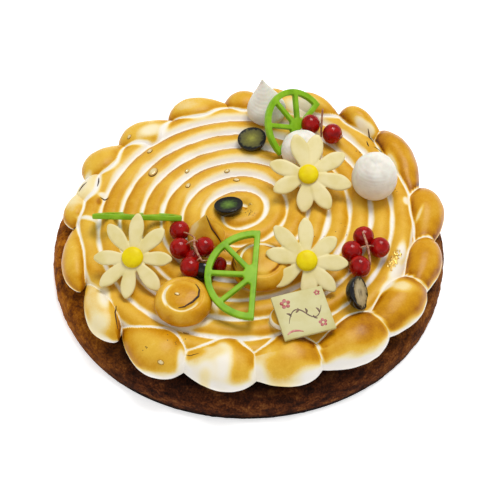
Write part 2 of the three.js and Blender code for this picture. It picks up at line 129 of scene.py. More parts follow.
# Single patches that the flame left paler or burnt browner, and a few painted highlights: across
# and along, half length, half width, turn in degrees and level.
FLAME_AND_HIGHLIGHT_MARKS = [
    (-11.8, -92, 4.8, 14, 0, 0.03), (-20, -95, 6.5, 5, 0, 0.05), (-18, -86, 9, 4.2, 4, 0.22),
    (-26.4, -85.6, 6, 3, 4, 0.5), (-20.5, -98, 3, 4, 0, 0.16),
    (-31.6, -90, 2.4, 9, 0, 0.03), (16.7, -93, 9, 7, 0, 0.46), (4, -97, 3.6, 5, 0, 0.05),
    (57, -69.5, 6.5, 5.5, 20, 0.74), (77, -46.5, 6, 4.4, 0, 0.22), (65, -62.5, 5.5, 5.5, 0, 0.62),
    (88.9, -20, 4.5, 8, 0, 0.58), (78.6, -22, 2.6, 8, -12, 0.04), (75, -35, 3.4, 8, -28, 0.04),
    (70, -44, 2.6, 7, -40, 0.05), (90, 3.3, 1.1, 5.5, -24, 0.22), (84.3, 13.9, 2, 3.4, 0, 0.08),
    (78.6, 41, 2.6, 9, 17, 0.16), (64.4, 68.8, 8, 2.8, -40, 0.1), (67.5, 66.5, 4, 3.5, 0, 0.14),
    (30, 85, 10, 7, -10, 0.08),
    (-54.3, 65.7, 9, 4, 40, 0.12), (-77, -52, 5, 15, 8, 0.26), (-71, -52, 3, 9, 8, 0.08),
    (-73, -67, 7, 6, 0, 0.16), (-65.4, -58, 1.8, 10, 0, 0.4), (-77.3, 18.6, 2.8, 2, 0, 0.06),
    (-84, 1.4, 7, 1.6, -21, 0.05), (-79.1, 14, 1.3, 2.4, 0, 0.7), (-2, 11.6, 2.2, 1.4, -30, 0.05),
    (-88, 32, 3, 5, -25, 0.05), (-16.5, -54, 2.2, 7, 10, 0.08), (-21.5, -66.5, 5, 3, 30, 0.08),
    (-31.8, -69.5, 7, 1.8, 0, 0.08),
]

# Turned profiles of the meringue on top: radius and height as shares, from the foot to the tip.
KISS = [(0, 0), (0.74, 0), (0.96, 0.15), (1.02, 0.37), (0.96, 0.59), (0.78, 0.78), (0.5, 0.89),
        (0.3, 0.92), (0.2, 0.97), (0.08, 1), (0, 1)]
CONE = [(0, 0), (0.82, 0), (1.01, 0.14), (0.96, 0.34), (0.68, 0.55), (0.34, 0.72),
        (0.13, 0.87), (0, 1)]
PEAK = [(0, 0), (0.84, 0), (1, 0.12), (0.82, 0.32), (0.52, 0.55), (0.24, 0.78), (0.05, 0.96),
        (0, 1)]
DOLLOP = [(0, 0), (0.9, 0), (1.02, 0.3), (0.95, 0.6), (0.79, 0.82), (0.7, 0.86), (0.64, 0.8),
          (0.58, 0.93), (0.3, 1), (0, 1)]
PAT = [(0, 0), (0.8, 0), (1, 0.35), (0.9, 0.75), (0.5, 1), (0, 1)]
MOUND_SIDES = 28
MOUND_FULLNESS = 1.02
LEAN_STEPS = (0.5, 0.7, 0.85)

# Kisses: node, profile, growth in width and height, then shift and lean in millimetres.
KISSES = [
    ("kiss_right", KISS, (0.99, 1.1), (-0.2, 1.8), (0, 1.2)),
    ("kiss_upper", KISS, (1, 0.95), (0, -3.4), (0, 0.6)),
    ("kiss_back", CONE, (1.04, 1), (0, -3), (-2.5, 4.3)),
]

# Dollops: node, profile, growth, shift, where the middle of the rings is, how brown, and the rings
# that the flame left pale or burnt, the front one's pale rim ring partly a painted highlight:
# radius share, half width, from and to in degrees, how brown.
DOLLOPS = [
    ("dollop_front", DOLLOP, (1.03, 1), (0.5, -1.5), (-0.2, -1.4), 0.46,
     [(0.62, 0.08, 130, 215, 0.1), (0.57, 0.045, 215, 340, 0.14), (0.25, 0.3, 0, 359, 0.6)]),
    ("dollop_middle", DOLLOP, (1.15, 1), (1, -1.5), (0, 0), 0.46,
     [(0.68, 0.05, 20, 200, 0.1), (0.92, 0.04, 150, 240, 0.9), (0.6, 0.04, -60, 80, 0.8)]),
    ("dollop_peaked", PEAK, (0.95, 1.05), (-1, 0), (0, 0), 0.34,
     [(0.45, 0.5, -42, -30, 0.9), (0.6, 0.3, 150, 215, 0.26)]),
    ("dollop_small", PAT, (1, 1), (0, 0), (0, 0), 0.5, [(0.95, 0.12, 60, 300, 0.05)]),
]

# Daisies lean back: shift in millimetres, how full the petals are, then for each petal the way
# it points in degrees and its share of the length. A petal's half widths run from its base to
# its tip, in millimetres.
DAISY_LEAN = math.radians(26)
DAISY_DEPTH = 2.5 * MM
DAISIES = {
    "daisy_left": ((-0.3, -0.3, 0), 0.98, [(84, 1.08), (44, 1), (-2, 0.92), (-51, 1),
                                           (-98, 0.99), (-138, 1), (180, 0.91), (126, 1)]),
    "daisy_upper": ((-0.3, -1.9, 0), 1.16, [(107, 1.09), (77, 1.09), (31, 1.07), (-15, 1.1),
                                            (-60, 1.03), (-98, 0.97), (-154, 0.96), (163, 1)]),
    "daisy_right": ((-0.7, -1.1, 0), 1.06, [(91, 1.06), (39, 0.9), (-4, 0.97), (-48, 0.97),
                                            (-86, 1), (-143, 0.98), (168, 0.97), (132, 1.12)]),
}
PETAL_LENGTH = 21.6 * MM
PETAL_THICKNESS = 1.8 * MM
PETAL_HALF_WIDTHS = (1.9, 1.9, 2.3, 3.1, 3.8, 4.15, 3.95, 3.0, 0.7)
PETAL_GRAIN = 0.4 * MM

# Turned profiles of the small round parts: radius and height from the foot up. The daisy's hub
# and button are in millimetres, and the calyx and the sugar bead in shares of their radius.
DAISY_HUB = [(0, -0.8), (4.6, -0.8), (4.8, 0), (4.6, 0.9), (0, 0.9)]
DAISY_BUTTON = [(0, 0.7), (5.04, 0.7), (5.6, 1.3), (5.21, 2.6), (3.36, 3.6), (0, 3.9)]
CALYX = [(0, 0.84), (0.13, 0.84), (0.2, 1.03), (0.1, 1), (0, 1)]
BEAD = [(0, -0.25), (0.95, -0.2), (1, 0.1), (0.9, 0.4), (0.5, 0.62), (0, 0.68)]

# Lime slices: middle, radius, the way the bar runs and the way the arc bulges.
SLICE_RIM = 3.35 * MM
SLICE_BAR = 2.9 * MM
SLICE_SPOKE = 2.5 * MM
SLICE_HUB = 5.6 * MM
SLICE_DEPTH = 2.6 * MM
SLICE_GRAIN = 0.42 * MM
SPOKE_ANGLES = (45, 90, 135)
SLICES = {
    "lime_slice_front": ((3.2, -46.5, 39.6), 24.6, (0.074, 0.977, 0.2), (-0.996, 0.083, -0.037)),
    "lime_slice_back": ((27.8, 63.2, 33.4), 22.1, (0.518, 0.852, 0.06), (-0.638, 0.34, 0.69)),
    "lime_slice_left": ((-56.8, -7.7, 38.4), 23, (0.999, -0.035, 0), (-0.05, 0.715, -0.697)),
}

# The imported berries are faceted; a round one of the same bulk reaches a little further.
CURRANT_FULLNESS = 1.13

# Halved dark berries, a little shallower than round: middle, radius and the way the cut looks.
BERRY_DEPTH = 0.82
BERRIES = {
    "dark_berry_back": ((2.2, 56.5, 32.2), 8.2, (-0.12, -0.08, 1)),
    "dark_berry_middle": ((-10.2, 8.2, 31), 7.9, (-0.1, 0.28, 1)),
    "dark_berry_right": ((55.4, -53.6, 34.4), 8.7, (0.9, -0.2, 0.5)),
    "dark_berry_left": ((-21.8, -38.2, 32), 6.2, (0.2, 0.9, -0.1)),
}

# Redcurrants by sprig, and their stems, from the free end to the end in the meringue.
SPRIGS = [("left", 6), ("top", 2), ("right", 4)]
STEM_RADIUS = 0.55 * MM
TWIG_RADIUS = 0.36 * MM
STEM_POINTS = 14
TWIG_REACH = 3.9 * MM
STEMS = {
    "stem_left": ((-26.6, -24, 41.5), (-26.4, -30, 41), (-22.8, -36.5, 38.4)),
    "stem_top": ((41.2, 67.8, 43.5), (40.8, 64, 36), (40.7, 60.2, 29.5)),
    "stem_right": ((58.1, -19.6, 40.6), (60.2, -28, 38.6), (61.4, -35.6, 34)),
}

# Plaque: it leans back and is turned a little.
PLAQUE_SIZE = Vector((26, 23.6, 1.8)) * MM
PLAQUE_EDGE = 0.35 * MM
PLAQUE_PLACE = Vector((26.8, -67, 35.4)) * MM
PLAQUE_LEAN, PLAQUE_TURN = math.radians(12), math.radians(17)

# Print on the plaque, in millimetres from its middle: blossoms with their size, the foot and
# direction of each leaf, and the lines.
BLOSSOMS = [(-7.2, 6.6, 1.7), (7.6, -7.4, 1.4), (9.6, 8.6, 1.0)]
LEAVES = [(-6.4, -0.6, 2.3), (-3.6, 0.9, 0.9), (1.2, -0.7, 1.5), (4.2, -2.6, -0.9),
          (7.4, -1.6, 1.9)]
LEAF_LENGTH = 2.6
SWEEP = [(-11, -9.5), (-7.5, -8.2), (-3, -9.6)]
VINE = [(-8.5, -4), (-4, 2.2), (1, -0.6), (5.5, -3.6), (9.5, 1.6)]

# Torn cracks, burnt at the edge and painted shade inside: thickness, then corners across and along,
# in millimetres.
CRACKS = [
    (0.2, (-29.8, -85.2), (-27.6, -86.4), (-23.4, -86)),
    (0.4, (-64.9, -56.5), (-65.2, -61), (-64.4, -65.2), (-63.6, -69)),
    (0.45, (-90.6, 21.4), (-88.8, 24.4), (-86.8, 27)),
    (0.4, (-80.6, 31.2), (-80.3, 27.4), (-80.7, 24)),
    (0.4, (-78.6, 16.6), (-76.1, 15.7), (-74, 16.4)),
    (0.35, (-92.2, -1.5), (-90.3, -1.8), (-91.2, -5.2)),
    (0.45, (67.2, 67), (68.1, 64.2), (70.1, 59.6)),
    (0.35, (66, 58.6), (66.4, 56.4), (67, 54.4)),
    (0.25, (69.6, 54.4), (72, 52.6), (74, 50.2)),
    (0.25, (77.5, 40), (79.5, 36.5), (80, 33)),
    (0.55, (-25.6, -51.5), (-23.6, -55.6), (-23.9, -59.6), (-26.6, -63.2), (-30.4, -66),
     (-33.4, -66.4)),
    (0.4, (-21.4, -13.6), (-18.2, -17.2), (-13.6, -19.4), (-11.4, -22.4)),
    (0.25, (-5, -27), (-7.2, -33), (-5.6, -39.5)),
]

# Scattered flakes: middle, half spread along and across, turn, count and size in millimetres.
GOLD_SPOTS = [
    (74.2, -27.5, 6.5, 2, 1.15, 80, 1.1), (27.5, 21, 3, 1, 1.5, 8, 0.9),
    (-6, 28, 1.5, 1, 0, 5, 0.8), (1.2, 11.6, 0.9, 0.6, 0, 4, 0.9),
]
DARK_SPOTS = [
    (1.6, 4.6, 2.6, 2, 0.3, 14, 0.45), (76, 24, 5, 5, 0, 8, 0.4), (-36, -79, 5, 3, 0, 7, 0.4),
    (-48.6, -83, 2, 2, 0, 4, 0.45), (40, -20, 30, 12, 1.4, 14, 0.4),
    (61.5, 51, 2, 1, -0.6, 6, 0.5),
]

# Sugar droplets: across, along and radius in millimetres.
DROPLETS = [
    (-51.3, 34.2, 2.3), (-54, 50.6, 1.3), (-65.9, 60.9, 1), (-33, 35.7, 1.1), (-32.1, 24.5, 1.3),
    (-11.3, 35.9, 1.1), (-6.1, 28.8, 1.2), (-41.3, -91, 1.1), (-34.2, -59, 0.9), (-30, -72.4, 1),
]

# Camera: a long lens 650 mm away, 50 degrees above the table.
CAMERA_PLACE = Vector((0, -0.4178, 0.4979))
CAMERA_LENS = 86.4
CAMERA_SHIFT = (0.0044, 0.0082)

# Room: strength of its pale walls, then the soft lights by place, size in metres and watts.
ROOM_STRENGTH = 0.5
SOFTBOXES = {
    "overhead_softbox": ((0.2, 0.35, 1.1), 0.55, 8.7),
    "front_fill": ((-0.7, -0.9, 0.8), 0.9, 1.2),
}

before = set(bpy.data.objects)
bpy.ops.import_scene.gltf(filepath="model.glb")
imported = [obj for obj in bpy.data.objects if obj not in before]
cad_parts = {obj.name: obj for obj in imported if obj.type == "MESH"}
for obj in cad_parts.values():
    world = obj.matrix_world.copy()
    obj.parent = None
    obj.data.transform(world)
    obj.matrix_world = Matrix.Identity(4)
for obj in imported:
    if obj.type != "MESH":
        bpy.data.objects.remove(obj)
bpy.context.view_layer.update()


# ---- working by hand -------------------------------------------------------------------------

def clear_selection():
    if bpy.context.mode != "OBJECT":
        bpy.ops.object.mode_set(mode="OBJECT")
    bpy.ops.object.select_all(action="DESELECT")


def named(name):
    """Names the piece just added."""
    piece = bpy.context.active_object
    piece.name = name
    piece.data.name = name
    return piece


def take(piece):
    """Selects one piece alone and makes it the active one."""
    clear_selection()
    piece.select_set(True)
    bpy.context.view_layer.objects.active = piece
    return piece


def added(name, primitive, **settings):
    """Adds a primitive on its own and names it."""
    clear_selection()
    primitive(**settings)
    return named(name)


def edit(piece, kind="VERT"):
    """Opens a piece for shaping, with all of it selected."""
    take(piece)
    bpy.ops.object.mode_set(mode="EDIT")
    bpy.ops.mesh.select_mode(type=kind)
    pick_all()


def leave_edit():
    bpy.ops.object.mode_set(mode="OBJECT")


def pick(kind, test):
    """In edit mode, selects the verts, edges or faces that pass the test, and nothing else."""
    mesh = bpy.context.edit_object.data
    work = bmesh.from_edit_mesh(mesh)
    for group in (work.faces, work.edges, work.verts):
        for element in group:
            element.select_set(False)
    for element in getattr(work, kind):
        if test(element):
            element.select_set(True)
    work.select_flush_mode()
    bmesh.update_edit_mesh(mesh)


def pick_all():
    bpy.ops.mesh.select_all(action="SELECT")


def extrude(step):
    bpy.ops.mesh.extrude_region_move(TRANSFORM_OT_translate={"value": step})


def stretch(value, about=(0, 0, 0)):
    bpy.ops.transform.resize(value=value, center_override=about)


def close_up():
    """In edit mode, merges doubles and turns the faces outwards."""
    pick_all()
    bpy.ops.mesh.remove_doubles(threshold=WELD)
    bpy.ops.mesh.normals_make_consistent(inside=False)


def turned_to(way):
    """The turn that points +Z that way."""
    return UP.rotation_difference(way).to_matrix().to_4x4()


def settle(piece):
    """Puts the piece's place, turn and size into its mesh."""
    take(piece)
    bpy.ops.object.transform_apply(location=True, rotation=True, scale=True)
    return piece


def set_down(piece, matrix):
    """Moves, turns and sizes a piece, and puts that into its mesh."""
    piece.matrix_world = matrix
    return settle(piece)


def modify(piece, kind, **settings):
    """Adds a modifier with its settings and applies it."""
    take(piece)
    bpy.ops.object.modifier_add(type=kind)
    modifier = piece.modifiers[-1]
    for key, value in settings.items():
        setattr(modifier, key, value)
    bpy.ops.object.modifier_apply(modifier=modifier.name)


def round_off(piece, levels):
    modify(piece, "SUBSURF", levels=levels, render_levels=levels)


def fused(name, pieces, grain, soft, times):
    """Joins pieces that run through each other into one skin, and softens the seams."""
    piece = joined(name, pieces)
    modify(piece, "REMESH", mode="VOXEL", voxel_size=grain)
    modify(piece, "SMOOTH", factor=soft, iterations=times)
    return piece


def roughen(piece, kind, group=""):
    """Pushes the surface in and out by the lumps of its kind."""
    for size, height in LUMPS[kind]:
        texture = bpy.data.textures.new(f"{kind}_lumps_{size}", "CLOUDS")
        texture.noise_scale = size * MM
        modify(piece, "DISPLACE", texture=texture, strength=height * MM, mid_level=0.5,
               texture_coords="LOCAL", vertex_group=group)


def joined(name, pieces):
    take(pieces[0])
    for piece in pieces[1:]:
        piece.select_set(True)
    bpy.ops.object.join()
    return named(name)


def copied(piece, name):
    """A copy with a mesh of its own."""
    take(piece)
    bpy.ops.object.duplicate(linked=False)
    return named(name)


def spun(name, profile, steps, wide=MM, tall=MM):
    """A closed piece turned about the upright axis from (radius, height) points, foot first."""
    piece = added(name, bpy.ops.mesh.primitive_plane_add, size=MM)
    edit(piece)
    bpy.ops.mesh.merge(type="CENTER")
    points = [Vector((radius * wide, 0, height * tall)) for radius, height in profile]
    bpy.ops.transform.translate(value=points[0])
    for place, target in zip(points, points[1:]):
        extrude(target - place)
    pick_all()
    bpy.ops.mesh.spin(steps=steps, angle=TURN, center=(0, 0, 0), axis=(0, 0, 1))
    close_up()
    leave_edit()
    return piece


def swept(name, points, radius, widths=None, sides=6):
    """A closed round tube along the points. Its radius follows the widths, given as shares."""
    clear_selection()
    bpy.ops.curve.primitive_nurbs_path_add()
    tube = named(name)
    tube.data.splines.clear()
    line = tube.data.splines.new("POLY")
    line.points.add(len(points) - 1)
    for index, point in enumerate(points):
        line.points[index].co = (*point, 1)
        line.points[index].radius = widths[index] if widths else 1
    tube.data.twist_mode = "Z_UP"
    tube.data.bevel_depth = radius
    tube.data.bevel_resolution = sides // 2 - 1
    tube.data.use_fill_caps = True
    bpy.ops.object.convert(target="MESH")
    piece = named(name)
    edit(piece)
    close_up()
    leave_edit()
    return piece


def curved(start, middle, end, count):
    """Points on a smooth arc through three points."""
    start, middle, end = (Vector(p) * MM for p in (start, middle, end))
    control = 2 * middle - (start + end) / 2
    shares = [i / (count - 1) for i in range(count)]
    return [start.lerp(control, s).lerp(control.lerp(end, s), s) for s in shares]


def blend(low, high, value):
    """0 below low, 1 above high, and smooth between."""
    share = min(max((value - low) / (high - low), 0), 1)
    return share * share * (3 - 2 * share)


def lumps(place, size):
    """A smooth noise from -1 to 1 with lumps of that size."""
    return noise.noise(place / size)


def paint(piece, name, values):
    """Stores one number for each vertex, which the piece's material reads."""
    attribute = piece.data.attributes.new(name, "FLOAT", "POINT")
    attribute.data.foreach_set("value", values)


def middle_of(node):
    low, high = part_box(node)
    return (low + high) / 2


def serve(piece, finish, slot, *nodes):
    """Gives a piece its material and body, and hides the solids that it stands for."""
    take(piece)
    bpy.ops.object.shade_smooth()
    if not piece.data.materials:
        piece.data.materials.append(finish)
    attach(piece, "root")
    if nodes:
        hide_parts(*nodes)
    return piece


# ---- materials -------------------------------------------------------------------------------

def linear(code):
    """An sRGB hex colour as linear red, green, blue and alpha."""
    shares = [int(code[i:i + 2], 16) / 255 for i in (0, 2, 4)]
    return [s / 12.92 if s <= 0.04045 else ((s + 0.055) / 1.055) ** 2.4 for s in shares] + [1]


def per(size):
    """Texture scale for a pattern of that size in millimetres."""
    return 1000 / size


def node(tree, kind, inputs=None, stops=None, out=0, to=None, **settings):
    """Adds a node with its values or links, colour stops and settings, and gives one output.

    That output also feeds the shader's socket, where one is named.
    """
    made = tree.nodes.new(kind)
    for key, value in settings.items():
        setattr(made, key, value)
    for key, value in (inputs or {}).items():
        if isinstance(value, bpy.types.NodeSocket):
            tree.links.new(value, made.inputs[key])
        else:
            made.inputs[key].default_value = value
    if stops:
        elements = made.color_ramp.elements
        while len(elements) < len(stops):
            elements.new(1)
        for element, (place, code) in zip(elements, stops):
            element.position = place
            element.color = linear(code)
    if to:
        tree.links.new(made.outputs[out], tree.nodes["Principled BSDF"].inputs[to])
    return made.outputs[out]


def material(name, **values):
    """A new material with these constants on its shader, and its node tree."""
    made = bpy.data.materials.new(name)
    made.use_nodes = True
    shader = made.node_tree.nodes["Principled BSDF"]
    for key, value in values.items():
        shader.inputs[key.replace("_", " ")].default_value = value
    return made, made.node_tree


def mottled(name, size, detail, stops, relief=None, **values):
    """A material that drifts between the colour stops in patches of that size in millimetres.

    Its relief, if it has one, is the size and detail of the grain, then the strength and depth.
    """
    made, tree = material(name, **values)
    place = node(tree, "ShaderNodeTexCoord", out="Object")
    patches = node(tree, "ShaderNodeTexNoise",
                   {"Vector": place, "Scale": per(size), "Detail": detail})
    node(tree, "ShaderNodeValToRGB", {"Fac": patches}, stops, to="Base Color")
    if relief:
        size, detail, strength, depth = relief
        grain = node(tree, "ShaderNodeTexNoise",
                     {"Vector": place, "Scale": per(size), "Detail": detail})
        node(tree, "ShaderNodeBump",
             {"Height": grain, "Strength": strength, "Distance": depth * MM}, to="Normal")
    return made


def baked_shortcrust():
    """Dark baked shortcrust: matt, mottled, fine crumb; darker at the base, partly painted shade,
    and painted shade under the shells.
    """
    made, tree = material("baked_shortcrust", Roughness=0.85, IOR=1.45, Specular_IOR_Level=0.1)
    place = node(tree, "ShaderNodeTexCoord", out="Object")
    height = node(tree, "ShaderNodeSeparateXYZ", {"Vector": place}, out="Z")
    sideways = height.node.outputs["X"]
    height_share = node(tree, "ShaderNodeMath", {0: height, 1: CASE_TOP}, operation="DIVIDE")
    stretched = node(tree, "ShaderNodeMapping", {"Vector": place, "Scale": (1, 1, 2.2)})
    patches = node(tree, "ShaderNodeTexNoise",
                   {"Vector": stretched, "Scale": per(9), "Detail": 5, "Roughness": 0.65})
    crumb = node(tree, "ShaderNodeTexNoise",
                 {"Vector": place, "Scale": per(1.1), "Detail": 4, "Roughness": 0.7})
    mixed = node(tree, "ShaderNodeMix", {0: 0.4, 2: patches, 3: crumb}, data_type="FLOAT")
    brown = node(tree, "ShaderNodeValToRGB", {"Fac": mixed},
                 [(0.36, "180904"), (0.46, "391a0a"), (0.54, "5e2f13"), (0.64, "8a592c")])
    # Darker by height: towards the base partly darker baking and partly painted contact shade, and
    # painted shade under the shells at the top.
    baked_and_shaded_by_height = node(tree, "ShaderNodeValToRGB", {"Fac": height_share},
                 [(0, "1c1614"), (0.1, "4a403c"), (0.22, "f4f0ee"), (0.66, "f4f0ee"),
                  (1, "767070")])
    dark = node(tree, "ShaderNodeMix", {0: 1.0, 6: brown, 7: baked_and_shaded_by_height}, out=2,
                data_type="RGBA", blend_type="MULTIPLY")
    # Painted light: the left and right flanks are painted lighter and more orange where the light
    # falls on them, the left more than the right.
    left = node(tree, "ShaderNodeMapRange",
                {"Value": sideways, "From Min": -56 * MM, "From Max": -102 * MM})
    right = node(tree, "ShaderNodeMapRange",
                 {"Value": sideways, "From Min": 55 * MM, "From Max": 100 * MM, "To Max": 0.38})
    painted_lit_side = node(tree, "ShaderNodeMath", {0: left, 1: right}, operation="MAXIMUM")
    painted_lit_brown = node(tree, "ShaderNodeValToRGB", {"Fac": mixed},
                  [(0.38, "4a2004"), (0.48, "884804"), (0.58, "b26a08"), (0.68, "cc9038")])
    node(tree, "ShaderNodeMix", {0: painted_lit_side, 6: dark, 7: painted_lit_brown}, out=2, to="Base Color",
         data_type="RGBA")
    node(tree, "ShaderNodeBump", {"Height": mixed, "Strength": 0.6, "Distance": 0.8 * MM},
         to="Normal")
    return made


def torched_meringue():
    """Italian meringue browned with a flame: white in the creases, gold to brown on top, with
    painted shade and a few painted highlights mixed in.
    """
    made, tree = material("torched_meringue", IOR=1.45, Specular_IOR_Level=0.22)
    place = node(tree, "ShaderNodeTexCoord", out="Object")
    flame = node(tree, "ShaderNodeAttribute", out="Fac", attribute_name="torch_and_painted_light")
    clouds = node(tree, "ShaderNodeTexNoise",
                  {"Vector": place, "Scale": per(11), "Detail": 4, "Roughness": 0.6})
    grain = node(tree, "ShaderNodeTexNoise",
                 {"Vector": place, "Scale": per(0.9), "Detail": 3, "Roughness": 0.6})
    uneven = node(tree, "ShaderNodeMapRange", {"Value": clouds, "From Min": 0.3, "From Max": 0.7,
                                               "To Min": -0.14, "To Max": 0.14})
    fleck = node(tree, "ShaderNodeMapRange", {"Value": grain, "From Min": 0.35, "From Max": 0.65,
                                              "To Min": -0.05, "To Max": 0.05})
    shift = node(tree, "ShaderNodeMath", {0: uneven, 1: fleck}, operation="ADD")
    scaled = node(tree, "ShaderNodeMath", {0: shift, 1: flame}, operation="MULTIPLY")
    level = node(tree, "ShaderNodeMath", {0: flame, 1: scaled}, operation="ADD", use_clamp=True)
    node(tree, "ShaderNodeValToRGB", {"Fac": level},
         [(0, "f5f0e8"), (0.18, "f2e0a8"), (0.36, "e6b83f"), (0.56, "d0930e"),
          (0.76, "ab6a02"), (0.9, "733c05"), (1, "3a1c06")], to="Base Color")
    node(tree, "ShaderNodeMapRange", {"Value": level, "From Min": 0, "From Max": 0.7,
                                      "To Min": 0.5, "To Max": 0.28}, to="Roughness")
    node(tree, "ShaderNodeBump", {"Height": grain, "Strength": 0.25, "Distance": 0.2 * MM},
         to="Normal")
    return made


def dried_meringue():
    """Plain dried meringue: matt, chalky off-white, faint rings from the piping."""
    made = mottled("dried_meringue", 6, 4, [(0.35, "e0dacd"), (0.6, "eeeadf")],
                   Roughness=0.68, IOR=1.45, Subsurface_Weight=0.15, Subsurface_Scale=1.5 * MM)
    tree = made.node_tree
    rings = node(tree, "ShaderNodeTexWave",
                 {"Vector": node(tree, "ShaderNodeTexCoord", out="Object"), "Scale": per(5),
                  "Distortion": 1.5, "Detail": 2, "Detail Scale": 1.2},
                 out="Fac", bands_direction="Z")
    node(tree, "ShaderNodeBump", {"Height": rings, "Strength": 0.25, "Distance": 0.25 * MM},
         to="Normal")
    return made


def berry_flesh(name, middle, body, edge, reach=0.74):
    """Cut berry flesh: moist, darker to the rim, with paler rays from the middle."""
    made, tree = material(name, Roughness=0.3, IOR=1.4, Specular_IOR_Level=0.3)
    place = node(tree, "ShaderNodeTexCoord", out="Object")
    outward = node(tree, "ShaderNodeAttribute", out="Fac", attribute_name="from_middle")
    flesh = node(tree, "ShaderNodeTexNoise", {"Vector": place, "Scale": per(1.6), "Detail": 4})
    spread = node(tree, "ShaderNodeMapRange", {"Value": flesh, "From Min": 0.3, "From Max": 0.7,
                                               "To Min": -0.12, "To Max": 0.12})
    level = node(tree, "ShaderNodeMath", {0: outward, 1: spread}, operation="ADD",
                 use_clamp=True)
    node(tree, "ShaderNodeValToRGB", {"Fac": level},
         [(0, middle), (reach / 2, body), (reach, edge), (reach + 0.1, "15170f"),
          (1, "08080b")], to="Base Color")
    node(tree, "ShaderNodeBump", {"Height": flesh, "Strength": 0.3, "Distance": 0.3 * MM},
         to="Normal")
    return made


def boiled_sugar():
    """Bead of boiled sugar: glassy and pale to its top, with a painted dark ring of shade where it
    meets the meringue.
    """
    made, tree = material("boiled_sugar", Roughness=0.08, IOR=1.5, Transmission_Weight=0.2)
    rise = node(tree, "ShaderNodeAttribute", out="Fac", attribute_name="rise")
    # Painted shade: the dark ring at the foot stands in for the dark edge of the clear bead.
    node(tree, "ShaderNodeValToRGB", {"Fac": rise},
         [(0.3, "4a2c08"), (0.5, "c98f2e"), (0.8, "f2d88c"), (1, "f8ebbe")], to="Base Color")
    return made


def white_chocolate(name, deep, pale):
    """Tempered white chocolate: satin cream, very slightly cloudy."""
    return mottled(name, 8, 4, [(0.35, deep), (0.6, pale)], (0.8, 2, 0.1, 0.1),
                   Roughness=0.38, IOR=1.46, Specular_IOR_Level=0.3)


def food_ink(name, pale, deep):
    """Edible ink printed on chocolate: thin, slightly patchy."""
    return mottled(name, 1.5, 3, [(0.35, deep), (0.7, pale)], Roughness=0.45, IOR=1.46)


def sugar_paste():
    """Coloured sugar paste: bright yellow, satin, softly dimpled."""
    return mottled("yellow_sugar", 4, 2, [(0.3, "e6ca00"), (0.7, "efda08")],
                   (4, 2, 0.12, 0.4), Roughness=0.42, IOR=1.46, Specular_IOR_Level=0.2)


def lime_jelly():
    """Moulded lime jelly: moist green, mottled lighter and darker."""
    return mottled("lime_jelly", 7, 3, [(0.32, "71a312"), (0.5, "82b41c"), (0.7, "93c22c")],
                   (0.7, 2, 0.12, 0.15), Roughness=0.34, IOR=1.38, Specular_IOR_Level=0.3)


def redcurrant_skin():
    """Thin tight redcurrant skin over clear flesh: glossy deep red with paler streaks."""
    return mottled("redcurrant_skin", 3.2, 3,
                   [(0.3, "7c0504"), (0.5, "9c0906"), (0.72, "b3140b")],
                   Roughness=0.16, IOR=1.42, Specular_IOR_Level=0.35, Subsurface_Weight=0.15,
                   Subsurface_Scale=2 * MM, Subsurface_Radius=(1, 0.1, 0.05))


def dried_stem():
    """Thin woody berry stalk: dry pinkish tan with darker knots."""
    return mottled("dried_stem", 1.4, 3, [(0.35, "8a4a38"), (0.55, "c08a6c"), (0.75, "d9ab8a")],
                   (1.4, 3, 0.4, 0.2), Roughness=0.62, IOR=1.45)


def berry_skin():
    """Blue-black berry skin with a thin wax bloom: glossy and nearly black."""
    return mottled("berry_skin", 4, 5, [(0.4, "040407"), (0.65, "090b14"), (0.9, "182038")],
                   Roughness=0.16, IOR=1.45, Specular_IOR_Level=0.55)


def gold_crumb():
    """Crumbs of edible gold: small bright metal faces."""
    return mottled("gold_crumb", 1.5, 2, [(0.35, "b98a2c"), (0.65, "f6dc80")],
                   Roughness=0.28, Metallic=0.75)


def scorched_sugar_and_crack_shade():
    """Burnt sugar: matt and nearly black, for the specks and the torn edges, and the painted shade
    inside the cracks.
    """
    return mottled("scorched_sugar_and_crack_shade", 2, 3, [(0.35, "1d0f07"), (0.7, "5a3212")],
                   Roughness=0.6, IOR=1.45)


def painted_floor():
    """White painted floor: matt, and lit a little from itself so that it stays white."""
    return material("pale_floor", Roughness=0.9, Base_Color=linear("ffffff"),
                    Emission_Color=linear("ffffff"), Emission_Strength=0.45)[0]


# ---- pastry case -----------------------------------------------------------------------------

